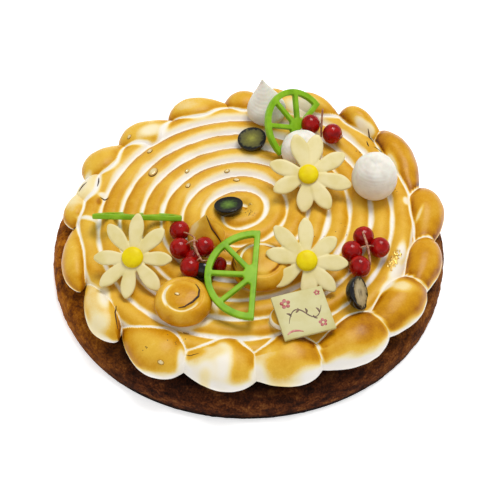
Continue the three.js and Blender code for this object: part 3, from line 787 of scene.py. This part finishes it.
def pastry_case(finish):
    """A wall pressed by hand: ring after ring is pulled up from the base and drawn in."""
    low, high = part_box("pastry_case")
    (share, height), *rings = CASE_RINGS
    piece = added("baked_case", bpy.ops.mesh.primitive_circle_add, vertices=240,
                  radius=CASE_RADIUS * share, fill_type="NOTHING")
    edit(piece, "EDGE")
    for next_share, next_height in rings:
        extrude((0, 0, (next_height - height) * MM))
        stretch((next_share / share, next_share / share, 1))
        share, height = next_share, next_height
    leave_edit()
    round_off(piece, 2)
    edit(piece, "EDGE")
    for level in (0, height * MM):
        pick("edges", lambda edge: edge.is_boundary and abs(edge.verts[0].co.z - level) < 0.1 * MM)
        extrude((0, 0, 0))
        bpy.ops.mesh.merge(type="CENTER")
    close_up()
    leave_edit()
    wall = piece.vertex_groups.new(name="wall")
    wall.add([v.index for v in piece.data.vertices if v.co.z > 0.3 * MM], 1, "REPLACE")
    roughen(piece, "case", "wall")
    for vertex in piece.data.vertices:
        angle = math.atan2(vertex.co.y, vertex.co.x)
        growth = 1 + CASE_WIDER["share"] * math.cos(angle - CASE_WIDER["towards"])
        growth += CASE_RIPPLE["share"] * math.sin(CASE_RIPPLE["waves"] * angle)
        for lobe in CASE_LOBES:
            near = max(0, math.cos(angle - lobe["towards"])) ** lobe["sharpness"]
            growth += lobe["share"] * near
        vertex.co.xy *= growth
        vertex.co.z = min(max(vertex.co.z, low.z), high.z)
    serve(piece, finish, "baked_pastry", "pastry_case")


# ---- meringue --------------------------------------------------------------------------------

def rope_reach(turns):
    """How far the rope's middle is from where its start has drifted to."""
    return ROPE_PITCH * turns - ROPE_INSET + ROPE_BULGE * math.sin(2 * TURN * turns)


def rope_point(turns):
    """Middle of the rope after a number of turns, counted from the +X side."""
    around = Vector((math.cos(TURN * turns), ROPE_SQUASH * math.sin(TURN * turns), 0))
    return ROPE_START + ROPE_DRIFT * (turns / ROPE_LAST) + rope_reach(turns) * around


def from_rope_start(place, turns):
    """Direction in turns and distance from where the rope's start has drifted to."""
    offset = place - ROPE_START - ROPE_DRIFT * (turns / ROPE_LAST)
    across, along = offset.x, offset.y / ROPE_SQUASH
    return math.atan2(along, across) / TURN, math.hypot(across, along)


def on_rope(place):
    """Turns along the rope, and the distance across it from the crest, in metres."""
    turns = ROPE_LAST / 2
    for _ in range(4):
        angle, reach = from_rope_start(place, turns)
        whole = round((reach - rope_reach(angle)) / ROPE_PITCH)
        turns = min(max(angle + whole, ROPE_FIRST), ROPE_LAST)
    return turns, from_rope_start(place, turns)[1] - rope_reach(turns)


def piped_rope():
    count = int((ROPE_LAST - ROPE_FIRST) * ROPE_POINTS_A_TURN)
    turns = [ROPE_FIRST + (ROPE_LAST - ROPE_FIRST) * i / (count - 1) for i in range(count)]
    points = [rope_point(t) for t in turns]
    widths = []
    for index, (turn, point) in enumerate(zip(turns, points)):
        ends = min(1, 0.55 + index / 12, 0.5 + (count - 1 - index) / 8)
        spread = 1 + ROPE_DRIFT.y / ROPE_LAST / ROPE_PITCH * math.sin(TURN * turn)
        widths.append(ends * spread * (1 + 0.03 * lumps(point, 23 * MM)))
    return swept("piped_rope", points, ROPE_THICKNESS, widths, sides=24)


def meringue_bed():
    piece = added("meringue_bed", bpy.ops.mesh.primitive_cylinder_add, vertices=96,
                  radius=BED_RADIUS, depth=BED_DEPTH, location=BED_MIDDLE)
    piece.scale.y = BED_SQUASH
    settle(piece)
    modify(piece, "BEVEL", width=BED_EDGE, segments=3, limit_method="ANGLE")
    return piece


def meringue_spiral():
    piece = fused("torched_spiral", [piped_rope(), meringue_bed()], SPIRAL_GRAIN,
                  soft=0.6, times=7)
    roughen(piece, "spiral")
    return piece


def shell_swell(share):
    """Thickness from the tail to the round head, as a share of the widest."""
    return abs(math.sin(math.pi * share ** SHELL_BIAS)) ** SHELL_BLUNTNESS


def border_shell(name, row):
    """A straight teardrop is pulled out ring by ring, bent along the rim and laid on it."""
    tail, head, radius, half_width, top, swing, *_ = row
    radius, half_width = radius * MM, half_width * MM
    start = math.radians(tail)
    length = (math.radians(head) - start) * radius
    stations = [SHELL_TIP, *(i / SHELL_RINGS for i in range(1, SHELL_RINGS)), 1 - SHELL_TIP]
    piece = added(name, bpy.ops.mesh.primitive_circle_add, vertices=20, fill_type="NGON",
                  radius=half_width * shell_swell(SHELL_TIP), rotation=(0, math.pi / 2, 0),
                  location=((SHELL_TIP - 0.5) * length, 0, 0))
    settle(piece)
    edit(piece, "FACE")
    for before, after in zip(stations, stations[1:]):
        extrude(((after - before) * length, 0, 0))
        growth = shell_swell(after) / shell_swell(before)
        stretch((1, growth, growth), ((after - 0.5) * length, 0, 0))
    close_up()
    pick("verts", lambda vertex: vertex.co.z > 0)
    stretch((1, 1, (top * MM - SHELL_MIDDLE) / half_width))
    pick("verts", lambda vertex: vertex.co.z < 0)
    stretch((1, 1, (SHELL_MIDDLE - SHELL_FOOT) / half_width))
    leave_edit()
    round_off(piece, 2)
    modify(piece, "SIMPLE_DEFORM", deform_method="BEND", deform_axis="Z", angle=length / radius)
    middle = start + length / radius / 2
    place = Matrix.Translation((radius * math.cos(middle), radius * math.sin(middle), SHELL_MIDDLE))
    set_down(piece, place @ Matrix.Rotation(middle + math.pi / 2 - math.radians(swing), 4, "Z"))
    roughen(piece, "shell")
    return piece


def mound(name, cad_node, profile, growth, shift, lean=(0, 0)):
    """A kiss or dollop turned to the size of its solid, its tip pulled to one side."""
    low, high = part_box(cad_node)
    radius = (high.x - low.x + high.y - low.y) / 4 * growth[0] * MOUND_FULLNESS
    height = (high.z - low.z) * growth[1]
    piece = spun(name, profile, MOUND_SIDES, radius, height)
    edit(piece)
    for share in LEAN_STEPS:
        pick("verts", lambda vertex: vertex.co.z > share * height)
        bpy.ops.transform.translate(value=Vector((*lean, 0)) * MM / len(LEAN_STEPS))
    leave_edit()
    round_off(piece, 2)
    x, y = ((low + high) / 2 + Vector((*shift, 0)) * MM).xy
    return set_down(piece, Matrix.Translation((x, y, low.z)))


def surface_of(pieces):
    """All these pieces as one searchable surface."""
    places, faces = [], []
    for piece in pieces:
        first = len(places)
        places += [v.co.copy() for v in piece.data.vertices]
        faces += [[first + i for i in face.vertices] for face in piece.data.polygons]
    return BVHTree.FromPolygons(places, faces)


def gap_to(surface, place):
    distance = surface.find_nearest(place, WIDEST_GAP)[3]
    return WIDEST_GAP if distance is None else distance


def flame_and_highlight_marks(place, value):
    """Mixes in the single patches that the flame left paler or burnt browner, and the painted
    highlights.
    """
    for x, y, along, across, turn, level in FLAME_AND_HIGHLIGHT_MARKS:
        offset = Matrix.Rotation(-math.radians(turn), 2) @ (place.xy / MM - Vector((x, y)))
        reach = math.hypot(offset.x / along, offset.y / across)
        if reach < 2:
            reach += 0.16 * lumps(place, 6 * MM)
            value += (level - value) * (1 - blend(0.4, 1.4, reach))
    return value


def torch_and_painted_light_spiral(piece, border, dollops):
    """The flame browned the crests and missed the creases, most of all behind the middle, where
    painted contact shade darkens each crest's far edge.
    """
    half = ROPE_PITCH / 2 / MM
    values = []
    for vertex in piece.data.vertices:
        place = vertex.co
        turns, across = on_rope(place)
        across /= MM
        back = max(0, math.cos(TURN * turns - ROPE_MISSED)) ** 1.6
        front = max(0, -math.sin(TURN * turns))
        wobble = 0.8 * lumps(place, 10 * MM)
        missed = 1.0 + 2.3 * back - 0.2 * front
        inner = blend(missed - 0.9 - 1.4 * back, missed + 1.1 + 1.4 * back, across + half + wobble)
        hidden = 0.7 - 0.15 * front
        outer = blend(hidden - 0.5, hidden + 1.3 - 0.9 * back, half - across + wobble)
        if turns < ROPE_CORE:
            inner = max(inner, blend(-0.2, 0.5, math.sin(TURN * turns + 0.9)))
        # Browner towards the outer edge; behind the middle, painted contact shade darkens that far
        # edge.
        edge = 0.1 * blend(0, 4.4, across) + 0.34 * back * blend(2.8, 4.4, across)
        depth = ROPE_BROWN + edge + 0.12 * lumps(place, 26 * MM)
        crease = blend(0.2 * MM, (1.8 - 1.2 * front) * MM, gap_to(border, place))
        foot = blend(0.3 * MM, 2.6 * MM, gap_to(dollops, place))
        values.append(flame_and_highlight_marks(place, inner * outer * depth * crease * foot))
    paint(piece, "torch_and_painted_light", values)


def torch_and_painted_light_shell(piece, row, others):
    """The flame browned the top, and missed the skirt, the seams and the bare stretch. Painted
    shade darkens the sides and the strip next to each seam.
    """
    tail, head, *_, brown, skirts, bare = row
    values = []
    for vertex in piece.data.vertices:
        place = vertex.co
        angle = math.degrees(math.atan2(place.y, place.x))
        share = ((angle - tail + 20) % 360 - 20) / (head - tail)
        wobble = 0.14 * lumps(place, 8 * MM)
        skirt = skirts[0] + (skirts[1] - skirts[0]) * blend(0.4, 0.9, share)
        outward = vertex.normal.x * place.x + vertex.normal.y * place.y > 0
        climb = vertex.normal.z if outward else 2 - vertex.normal.z
        top = blend(skirt - 0.35, skirt + 0.3, climb + wobble) if skirt > 0 else 1
        gap = gap_to(others, place) + wobble * 3 * MM
        near = max(0, -place.y / place.xy.length)
        crease = blend(0.3 * MM, (1.4 - 0.5 * near) * MM, gap)
        missed = 0
        if bare:
            middle, half = (bare[0] + bare[1]) / 2, (bare[1] - bare[0]) / 2
            missed = bare[2] * (1 - blend(0.4, 2.2, abs(share - middle + wobble) / half))
        # Painted shade: the sides, and the strip next to each seam, are painted browner.
        side = 1 - blend(0.3, 0.95, vertex.normal.z)
        painted_seam_shade = 1 - blend(1.4 * MM, 5 * MM, gap)
        depth = brown + 0.12 * lumps(place, 14 * MM) + 0.24 * side + 0.14 * painted_seam_shade
        level = flame_and_highlight_marks(place, top * crease * depth * (1 - missed))
        values.append(level * min(1, crease + 0.2))
    paint(piece, "torch_and_painted_light", values)


def arc(angle, first, last):
    """1 between two directions in degrees, counter-clockwise, fading at both ends."""
    soft = 14
    along, length = (angle - first) % 360, (last - first) % 360
    along = along if along < length / 2 + 180 else along - 360
    return blend(-soft, soft, along) * (1 - blend(-soft, soft, along - length))


def torch_and_painted_light_mound(piece, rings, brown, eye):
    """Browned all over, with painted shade on the steep sides, and rings that the flame left at a
    level of their own.
    """
    middle = sum((v.co for v in piece.data.vertices), Vector()) / len(piece.data.vertices)
    low, high = (end(v.co.z for v in piece.data.vertices) for end in (min, max))
    reach = max((v.co - middle).xy.length for v in piece.data.vertices)
    values = []
    for vertex in piece.data.vertices:
        wobble = 0.12 * lumps(vertex.co, 5 * MM)
        height = (vertex.co.z - low) / (high - low)
        # Painted shade: the steep sides are painted browner.
        side = 1 - blend(0.2, 0.95, vertex.normal.z)
        level = (brown + 0.16 * side + wobble) * blend(-0.05, 0.22, height + wobble)
        offset = vertex.co - middle - eye
        angle = math.degrees(math.atan2(offset.y, offset.x))
        for ring, half, first, last, wanted in rings:
            near = 1 - blend(0.4, 1.2, abs(offset.xy.length / reach - ring + wobble * 0.15) / half)
            level += (wanted - level) * near * arc(angle, first, last)
        values.append(level)
    paint(piece, "torch_and_painted_light", values)


# ---- toppings --------------------------------------------------------------------------------

def basis(place, along, bulge):
    """A frame with X along one way, Y nearly along another, and Z square to both."""
    x = Vector(along).normalized()
    z = x.cross(Vector(bulge)).normalized()
    y = z.cross(x)
    return Matrix.Translation(Vector(place) * MM) @ Matrix((x, y, z)).transposed().to_4x4()


def beam(name, length, width, place, angle):
    """A straight bar of the slice's depth from the hub outwards."""
    piece = settle(added(name, bpy.ops.mesh.primitive_cube_add, size=1, location=(0.5, 0, 0)))
    piece.scale = (length, width, SLICE_DEPTH)
    piece.location = place
    piece.rotation_euler.z = angle
    return settle(piece)


def slice_rim(radius):
    piece = added("slice_rim", bpy.ops.mesh.primitive_plane_add, size=1,
                  rotation=(math.pi / 2, 0, 0))
    piece.scale = (SLICE_RIM, SLICE_DEPTH, 1)
    piece.location = (radius - SLICE_RIM / 2, 0, 0)
    settle(piece)
    edit(piece)
    bpy.ops.mesh.spin(steps=48, angle=math.pi, center=(0, 0, 0), axis=(0, 0, -1))
    close_up()
    leave_edit()
    return piece


def lime_slice(name, finish):
    """Rim, bar, spokes and hub are set together and fused into one moulded piece."""
    place, radius, along, bulge = SLICES[name]
    radius *= MM
    hub = added("slice_hub", bpy.ops.mesh.primitive_cylinder_add, vertices=32,
                radius=SLICE_HUB, depth=SLICE_DEPTH)
    edit(hub)
    bpy.ops.mesh.bisect(plane_co=(0, 0, 0), plane_no=(0, 1, 0), use_fill=True, clear_inner=True)
    leave_edit()
    bar = beam("slice_bar", 2 * radius, SLICE_BAR, (-radius, 0, 0), 0)
    spokes = [beam("slice_spoke", radius - SLICE_RIM / 2, SLICE_SPOKE, (0, 0, 0), math.radians(a))
              for a in SPOKE_ANGLES]
    parts = [slice_rim(radius), bar, hub, *spokes]
    piece = fused(f"moulded_{name}", parts, SLICE_GRAIN, soft=0.5, times=4)
    set_down(piece, basis(place, along, bulge))
    serve(piece, finish, "lime_jelly", name)


def petal(length, width):
    """A flat grid drawn in at the base and rounded at the tip, then given its thickness."""
    columns = len(PETAL_HALF_WIDTHS) - 1
    piece = added("petal", bpy.ops.mesh.primitive_grid_add, x_subdivisions=columns,
                  y_subdivisions=4, size=1, location=(0.5, 0, 0))
    settle(piece)
    edit(piece)
    for column, half in enumerate(PETAL_HALF_WIDTHS):
        at = column / columns
        pick("verts", lambda vertex: abs(vertex.co.x - at) < 0.01)
        stretch((1, 2 * half * width * MM, 1), (at, 0, 0))
    pick_all()
    stretch((length, 1, 1))
    leave_edit()
    modify(piece, "SOLIDIFY", thickness=PETAL_THICKNESS, offset=0)
    round_off(piece, 2)
    return piece


def daisy(name, chocolate, sugar):
    """Petals round a hub are fused into one moulded blossom, with a button on top."""
    rng = random.Random(name)
    shift, fullness, blades = DAISIES[name]
    middle = middle_of(f"{name}_centre") + Vector(shift) * MM
    lean = Matrix.Rotation(DAISY_LEAN, 4, "X")
    place = Matrix.Translation(middle - lean @ (DAISY_DEPTH * UP)) @ lean
    petals = []
    for angle, share in blades:
        blade = petal(PETAL_LENGTH * share, fullness * rng.uniform(0.95, 1.04))
        dip = Matrix.Rotation(math.radians(rng.uniform(-2, 2)), 4, "Y")
        petals.append(set_down(blade, Matrix.Rotation(math.radians(angle), 4, "Z") @ dip))
    hub = spun("daisy_hub", DAISY_HUB, 24)
    blossom = fused(f"moulded_{name}", [*petals, hub], PETAL_GRAIN, soft=0.5, times=3)
    serve(set_down(blossom, place), chocolate, "white_chocolate", f"{name}_petals")
    button = spun(f"button_{name}", DAISY_BUTTON, 24)
    round_off(button, 2)
    roughen(button, "button")
    serve(set_down(button, place), sugar, "yellow_sugar", f"{name}_centre")


def redcurrant(name, skin, stalk, away):
    """A round berry with a dimple and its small dried calyx on the side away from the stem."""
    low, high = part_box(name)
    radius = max(high - low) / 2 * CURRANT_FULLNESS
    piece = added(f"ripe_{name}", bpy.ops.mesh.primitive_uv_sphere_add, segments=32,
                  ring_count=20, radius=radius)
    edit(piece)
    pick("verts", lambda vertex: vertex.co.z > radius * 0.97)
    bpy.ops.transform.translate(value=(0, 0, -0.05 * radius))
    pick_all()
    stretch((1, 1, 0.95))
    leave_edit()
    piece.data.materials.append(skin)
    calyx = spun("calyx", CALYX, 7, radius, radius)
    calyx.data.materials.append(stalk)
    piece = joined(piece.name, [piece, calyx])
    set_down(piece, Matrix.Translation((low + high) / 2) @ turned_to(away.normalized()))
    serve(piece, skin, "redcurrant", name)


def sprig(side, count, skin, stalk):
    """A stem with a thin twig to each of its redcurrants."""
    points = curved(*STEMS[f"stem_{side}"], STEM_POINTS)
    widths = [0.7 + 0.35 * math.sin(3 * i / (STEM_POINTS - 1)) + 0.12 * (i % 3)
              for i in range(STEM_POINTS)]
    main = swept(f"twig_{side}_stem", points, STEM_RADIUS, widths, sides=8)
    serve(main, stalk, "berry_stem", f"stem_{side}")
    twigs = []
    for index in range(1, count + 1):
        name = f"redcurrant_{side}_{index}"
        middle = middle_of(name)
        root = min(points, key=lambda point: (point - middle).length)
        reach = max(root - middle, 3 * MM * UP, key=lambda way: way.length)
        touch = middle + reach.normalized() * TWIG_REACH
        knee = root.lerp(touch, 0.55) + 0.7 * MM * UP
        twigs.append(swept("twig", curved(root / MM, knee / MM, touch / MM, 7), TWIG_RADIUS))
        redcurrant(name, skin, stalk, middle - root - 2 * MM * UP)
    serve(joined(f"twigs_{side}", twigs), stalk, "berry_stem")


def dark_berry(name, skin, flesh):
    """Half a berry: a round skin, and a cut face that is a little hollow."""
    place, size, look = BERRIES[name]
    radius = size * MM
    bands = 6
    angles = [math.pi / 2 * i / bands for i in range(bands)]
    profile = [(size * math.sin(a), -size * BERRY_DEPTH * math.cos(a)) for a in angles]
    profile += [(size * 0.99, -0.1), (size * 0.95, 0.25), (size * 0.9, 0.1),
                (size * 0.5, -0.15), (0, 0.1)]
    piece = spun(f"cut_{name}", profile, 28)
    piece.data.materials.append(skin)
    piece.data.materials.append(flesh)
    edit(piece, "FACE")
    pick("faces", lambda face: face.normal.z > 0.3
         and face.calc_center_median().xy.length < 0.96 * radius)
    piece.active_material_index = 1
    bpy.ops.object.material_slot_assign()
    leave_edit()
    round_off(piece, 1)
    paint(piece, "from_middle", [min(v.co.xy.length / radius, 1) for v in piece.data.vertices])
    turn = turned_to(Vector(look).normalized())
    set_down(piece, Matrix.Translation(Vector(place) * MM) @ turn)
    serve(piece, skin, "dark_berry", name)


def plaque_frame():
    turn = Matrix.Rotation(PLAQUE_TURN, 4, "Z") @ Matrix.Rotation(PLAQUE_LEAN, 4, "X")
    return Matrix.Translation(PLAQUE_PLACE) @ turn


def ink(name, points, width):
    """A printed line on the plaque: points in millimetres from its middle."""
    count = 12
    places = []
    for start, middle, end in zip(points[::2], points[1::2], points[2::2]):
        places += curved((*start, 0), (*middle, 0), (*end, 0), count)[:-1]
    places.append(Vector((*points[-1], 0)) * MM)
    last = len(places) - 1
    widths = [0.5 + 0.6 * math.sin(math.pi * i / last) for i in range(last + 1)]
    return swept(name, places, width * MM, widths)


def printed(name, marks, finish):
    """Joins the marks, presses them flat and lays them on the plaque."""
    piece = joined(name, marks)
    press = Matrix.Translation((0, 0, PLAQUE_SIZE.z / 2)) @ Matrix.Diagonal((1, 1, 0.3, 1))
    set_down(piece, plaque_frame() @ press)
    serve(piece, finish, "white_chocolate")


def plaque_print(rose, umber):
    """Two small blossoms and a leafy vine."""
    petals = []
    for x, y, size in BLOSSOMS:
        for i in range(5):
            angle = TURN * i / 5 + 0.3
            spot = Vector((x + size * math.cos(angle), y + size * math.sin(angle), 0)) * MM
            petals.append(settle(added("blossom_petal", bpy.ops.mesh.primitive_cylinder_add,
                                       vertices=14, radius=0.58 * size * MM, depth=0.4 * MM,
                                       location=spot)))
    petals.append(ink("rose_sweep", SWEEP, 0.5))
    printed("printed_blossoms", petals, rose)
    vine = [ink("vine", VINE, 0.36)]
    for x, y, angle in LEAVES:
        end = (x + LEAF_LENGTH * math.cos(angle), y + LEAF_LENGTH * math.sin(angle))
        bulge = ((x + end[0]) / 2 + 0.5 * math.sin(angle), (y + end[1]) / 2 - 0.5 * math.cos(angle))
        vine.append(ink("leaf", [(x, y), bulge, end], 0.5))
    printed("printed_vine", vine, umber)


def plaque(chocolate):
    """A thin cast slab, slightly uneven, leaning back."""
    piece = added("cast_plaque", bpy.ops.mesh.primitive_cube_add, size=1)
    piece.scale = PLAQUE_SIZE
    settle(piece)
    edit(piece)
    bpy.ops.mesh.subdivide(number_cuts=6)
    leave_edit()
    modify(piece, "BEVEL", width=PLAQUE_EDGE, segments=3, limit_method="ANGLE")
    roughen(piece, "plaque")
    set_down(piece, plaque_frame())
    serve(piece, chocolate, "white_chocolate", "plaque")


# ---- small things ----------------------------------------------------------------------------

def on_top(surface, x, y):
    """Where a plumb line at x, y in millimetres meets the surface, and the way it faces."""
    return surface.ray_cast(Vector((x, y, 100)) * MM, -UP)[:2]


def lying(place, facing, turn, size):
    """A frame on the surface: turned about its own upright and sized in metres."""
    flat = Matrix.Rotation(turn, 4, "Z") @ Matrix.Diagonal((*size, 1))
    return Matrix.Translation(place) @ turned_to(facing) @ flat


def droplets(surface, finish):
    """Beads of boiled sugar, drawn out and flattened where they sit."""
    rng = random.Random(5)
    beads = []
    for x, y, radius in DROPLETS:
        radius *= MM
        bead = spun("bead", BEAD, 16, 1, 1)
        round_off(bead, 1)
        paint(bead, "rise", [max(v.co.z, 0) / 0.7 for v in bead.data.vertices])
        outward = math.atan2(y * MM - ROPE_START.y, x * MM - ROPE_START.x)
        along = outward + math.pi / 2 + rng.uniform(-0.2, 0.2)
        size = (1.6 * radius, radius, 0.8 * radius)
        beads.append(set_down(bead, lying(*on_top(surface, x, y), along, size)))
    serve(joined("sugar_droplets", beads), finish, "torched_meringue")


def cracks(surface, finish):
    """Torn cracks: thin dark slivers that follow the surface, burnt at the edge and painted shade
    inside.
    """
    slivers = []
    for thickness, *corners in CRACKS:
        corners = [Vector(corner) for corner in corners]
        points = []
        for start, end in zip(corners, corners[1:]):
            steps = max(2, round((end - start).length / 0.8))
            points += [start.lerp(end, i / steps) for i in range(steps)]
        places = [on_top(surface, *point)[0] for point in [*points, corners[-1]]]
        places = [place for place in places if place]
        shares = [i / (len(places) - 1) for i in range(len(places))]
        widths = [0.25 + 0.75 * math.sin(math.pi * (0.06 + 0.9 * share)) for share in shares]
        slivers.append(swept("sliver", places, thickness * MM, widths))
    serve(joined("burnt_and_shaded_cracks", slivers), finish, "torched_meringue")


def scattered(name, finish, surface, rng, spots):
    """Small bevelled flakes, thrown round each spot."""
    flakes = []
    pattern = added("flake", bpy.ops.mesh.primitive_cube_add, size=1)
    modify(pattern, "BEVEL", width=0.2, segments=1)
    for x, y, along, across, turn, count, size in spots:
        for _ in range(count):
            spread = Vector((rng.gauss(0, 0.5) * along, rng.gauss(0, 0.5) * across))
            spot = Vector((x, y)) + Matrix.Rotation(turn, 2) @ spread
            place, facing = on_top(surface, *spot)
            if place is None:
                continue
            sides = [size * MM * rng.uniform(0.6, 1.3) for _ in range(2)]
            tilt = Vector((rng.uniform(-0.5, 0.5), rng.uniform(-0.5, 0.5), 1))
            way = lying(place, facing + tilt * 0.6, rng.uniform(0, TURN), (*sides, 0.45 * sides[0]))
            flakes.append(set_down(copied(pattern, "flake"), way))
    # The pattern is set down too, as the smallest flake.
    flakes.append(pattern)
    pattern.scale = (0.2 * MM, 0.2 * MM, 0.1 * MM)
    pattern.location = on_top(surface, *spots[0][:2])[0]
    settle(pattern)
    serve(joined(name, flakes), finish, "torched_meringue")


# ---- stage -----------------------------------------------------------------------------------

def camera():
    bpy.ops.object.camera_add(location=CAMERA_PLACE)
    eye = bpy.context.active_object
    eye.rotation_euler = (-CAMERA_PLACE).to_track_quat("-Z", "Y").to_euler()
    eye.data.sensor_width = 36
    eye.data.lens = CAMERA_LENS
    eye.data.shift_x, eye.data.shift_y = CAMERA_SHIFT
    eye.data.clip_start = 0.01
    bpy.context.scene.camera = eye


def softbox(name, place, size, power):
    bpy.ops.object.light_add(type="AREA", location=place)
    light = bpy.context.active_object
    light.name = name
    light.data.shape = "SQUARE"
    light.data.size = size
    light.data.energy = power
    light.rotation_euler = (-Vector(place)).to_track_quat("-Z", "Y").to_euler()


def studio():
    """A pale floor, a pale room and the soft lights."""
    floor = added("floor", bpy.ops.mesh.primitive_plane_add, size=6, location=(0, 0, -0.1 * MM))
    edit(floor)
    bpy.ops.mesh.subdivide(number_cuts=1)
    leave_edit()
    settle(floor)
    floor.data.materials.append(painted_floor())
    world = bpy.data.worlds.new("pale_room")
    world.use_nodes = True
    backdrop = world.node_tree.nodes["Background"]
    backdrop.inputs["Color"].default_value = linear("ffffff")
    backdrop.inputs["Strength"].default_value = ROOM_STRENGTH
    bpy.context.scene.world = world
    bpy.context.scene.view_settings.view_transform = "Standard"
    for name, (place, size, power) in SOFTBOXES.items():
        softbox(name, place, size, power)


camera()
pastry_case(baked_shortcrust())

torched = torched_meringue()
chalky = dried_meringue()
spiral = meringue_spiral()
shells = [border_shell(f"piped_shell_{i + 1:02d}", row) for i, row in enumerate(SHELLS)]
for node_name, profile, growth, shift, lean in KISSES:
    kiss = mound(f"dried_{node_name}", node_name, profile, growth, shift, lean)
    roughen(kiss, "kiss")
    serve(kiss, chalky, "white_meringue", node_name)
dollops = []
for node_name, profile, growth, shift, eye, brown, rings in DOLLOPS:
    dollop = mound(f"torched_{node_name}", node_name, profile, growth, shift)
    roughen(dollop, "dollop")
    torch_and_painted_light_mound(dollop, rings, brown, Vector((*eye, 0)) * MM)
    dollops.append(serve(dollop, torched, "torched_meringue", node_name))

torch_and_painted_light_spiral(spiral, surface_of(shells), surface_of(dollops))
for index, (shell, row) in enumerate(zip(shells, SHELLS)):
    neighbours = [spiral]
    if index not in TOUCHING_SHELLS:
        neighbours += [shells[index - 1], shells[(index + 1) % len(shells)]]
    torch_and_painted_light_shell(shell, row, surface_of(neighbours))
    serve(shell, torched, "torched_meringue", f"border_shell_{index + 1:02d}")
serve(spiral, torched, "torched_meringue", "meringue_spiral")

jelly = lime_jelly()
for slice_name in SLICES:
    lime_slice(slice_name, jelly)
chocolate = white_chocolate("white_chocolate", "dfcf8b", "e8daa2")
sugar = sugar_paste()
for daisy_name in DAISIES:
    daisy(daisy_name, chocolate, sugar)
skin, stalk = redcurrant_skin(), dried_stem()
for side, count in SPRIGS:
    sprig(side, count, skin, stalk)
dark_skin = berry_skin()
green = berry_flesh("green_berry_flesh", "6c8a30", "4f6a24", "2a3a16", 0.56)
flesh = {
    "dark_berry_back": berry_flesh("olive_berry_flesh", "97963f", "6f6c30", "55522c"),
    "dark_berry_right": berry_flesh("pale_berry_flesh", "54452f", "bcae88", "9a8c68"),
}
for berry_name in BERRIES:
    dark_berry(berry_name, dark_skin, flesh.get(berry_name, green))
plaque(white_chocolate("plaque_chocolate", "c4b976", "ccc48c"))
plaque_print(food_ink("rose_food_ink", "d98f8c", "b8504f"),
             food_ink("umber_food_ink", "8a6a4c", "4d3422"))

top_surface = surface_of([spiral, *shells, *dollops])
scorched_and_crack_shade = scorched_sugar_and_crack_shade()
droplets(top_surface, boiled_sugar())
cracks(top_surface, scorched_and_crack_shade)
scattered("gold_crumbs", gold_crumb(), top_surface, random.Random(3), GOLD_SPOTS)
scattered("burnt_specks", scorched_and_crack_shade, top_surface, random.Random(4), DARK_SPOTS)
studio()
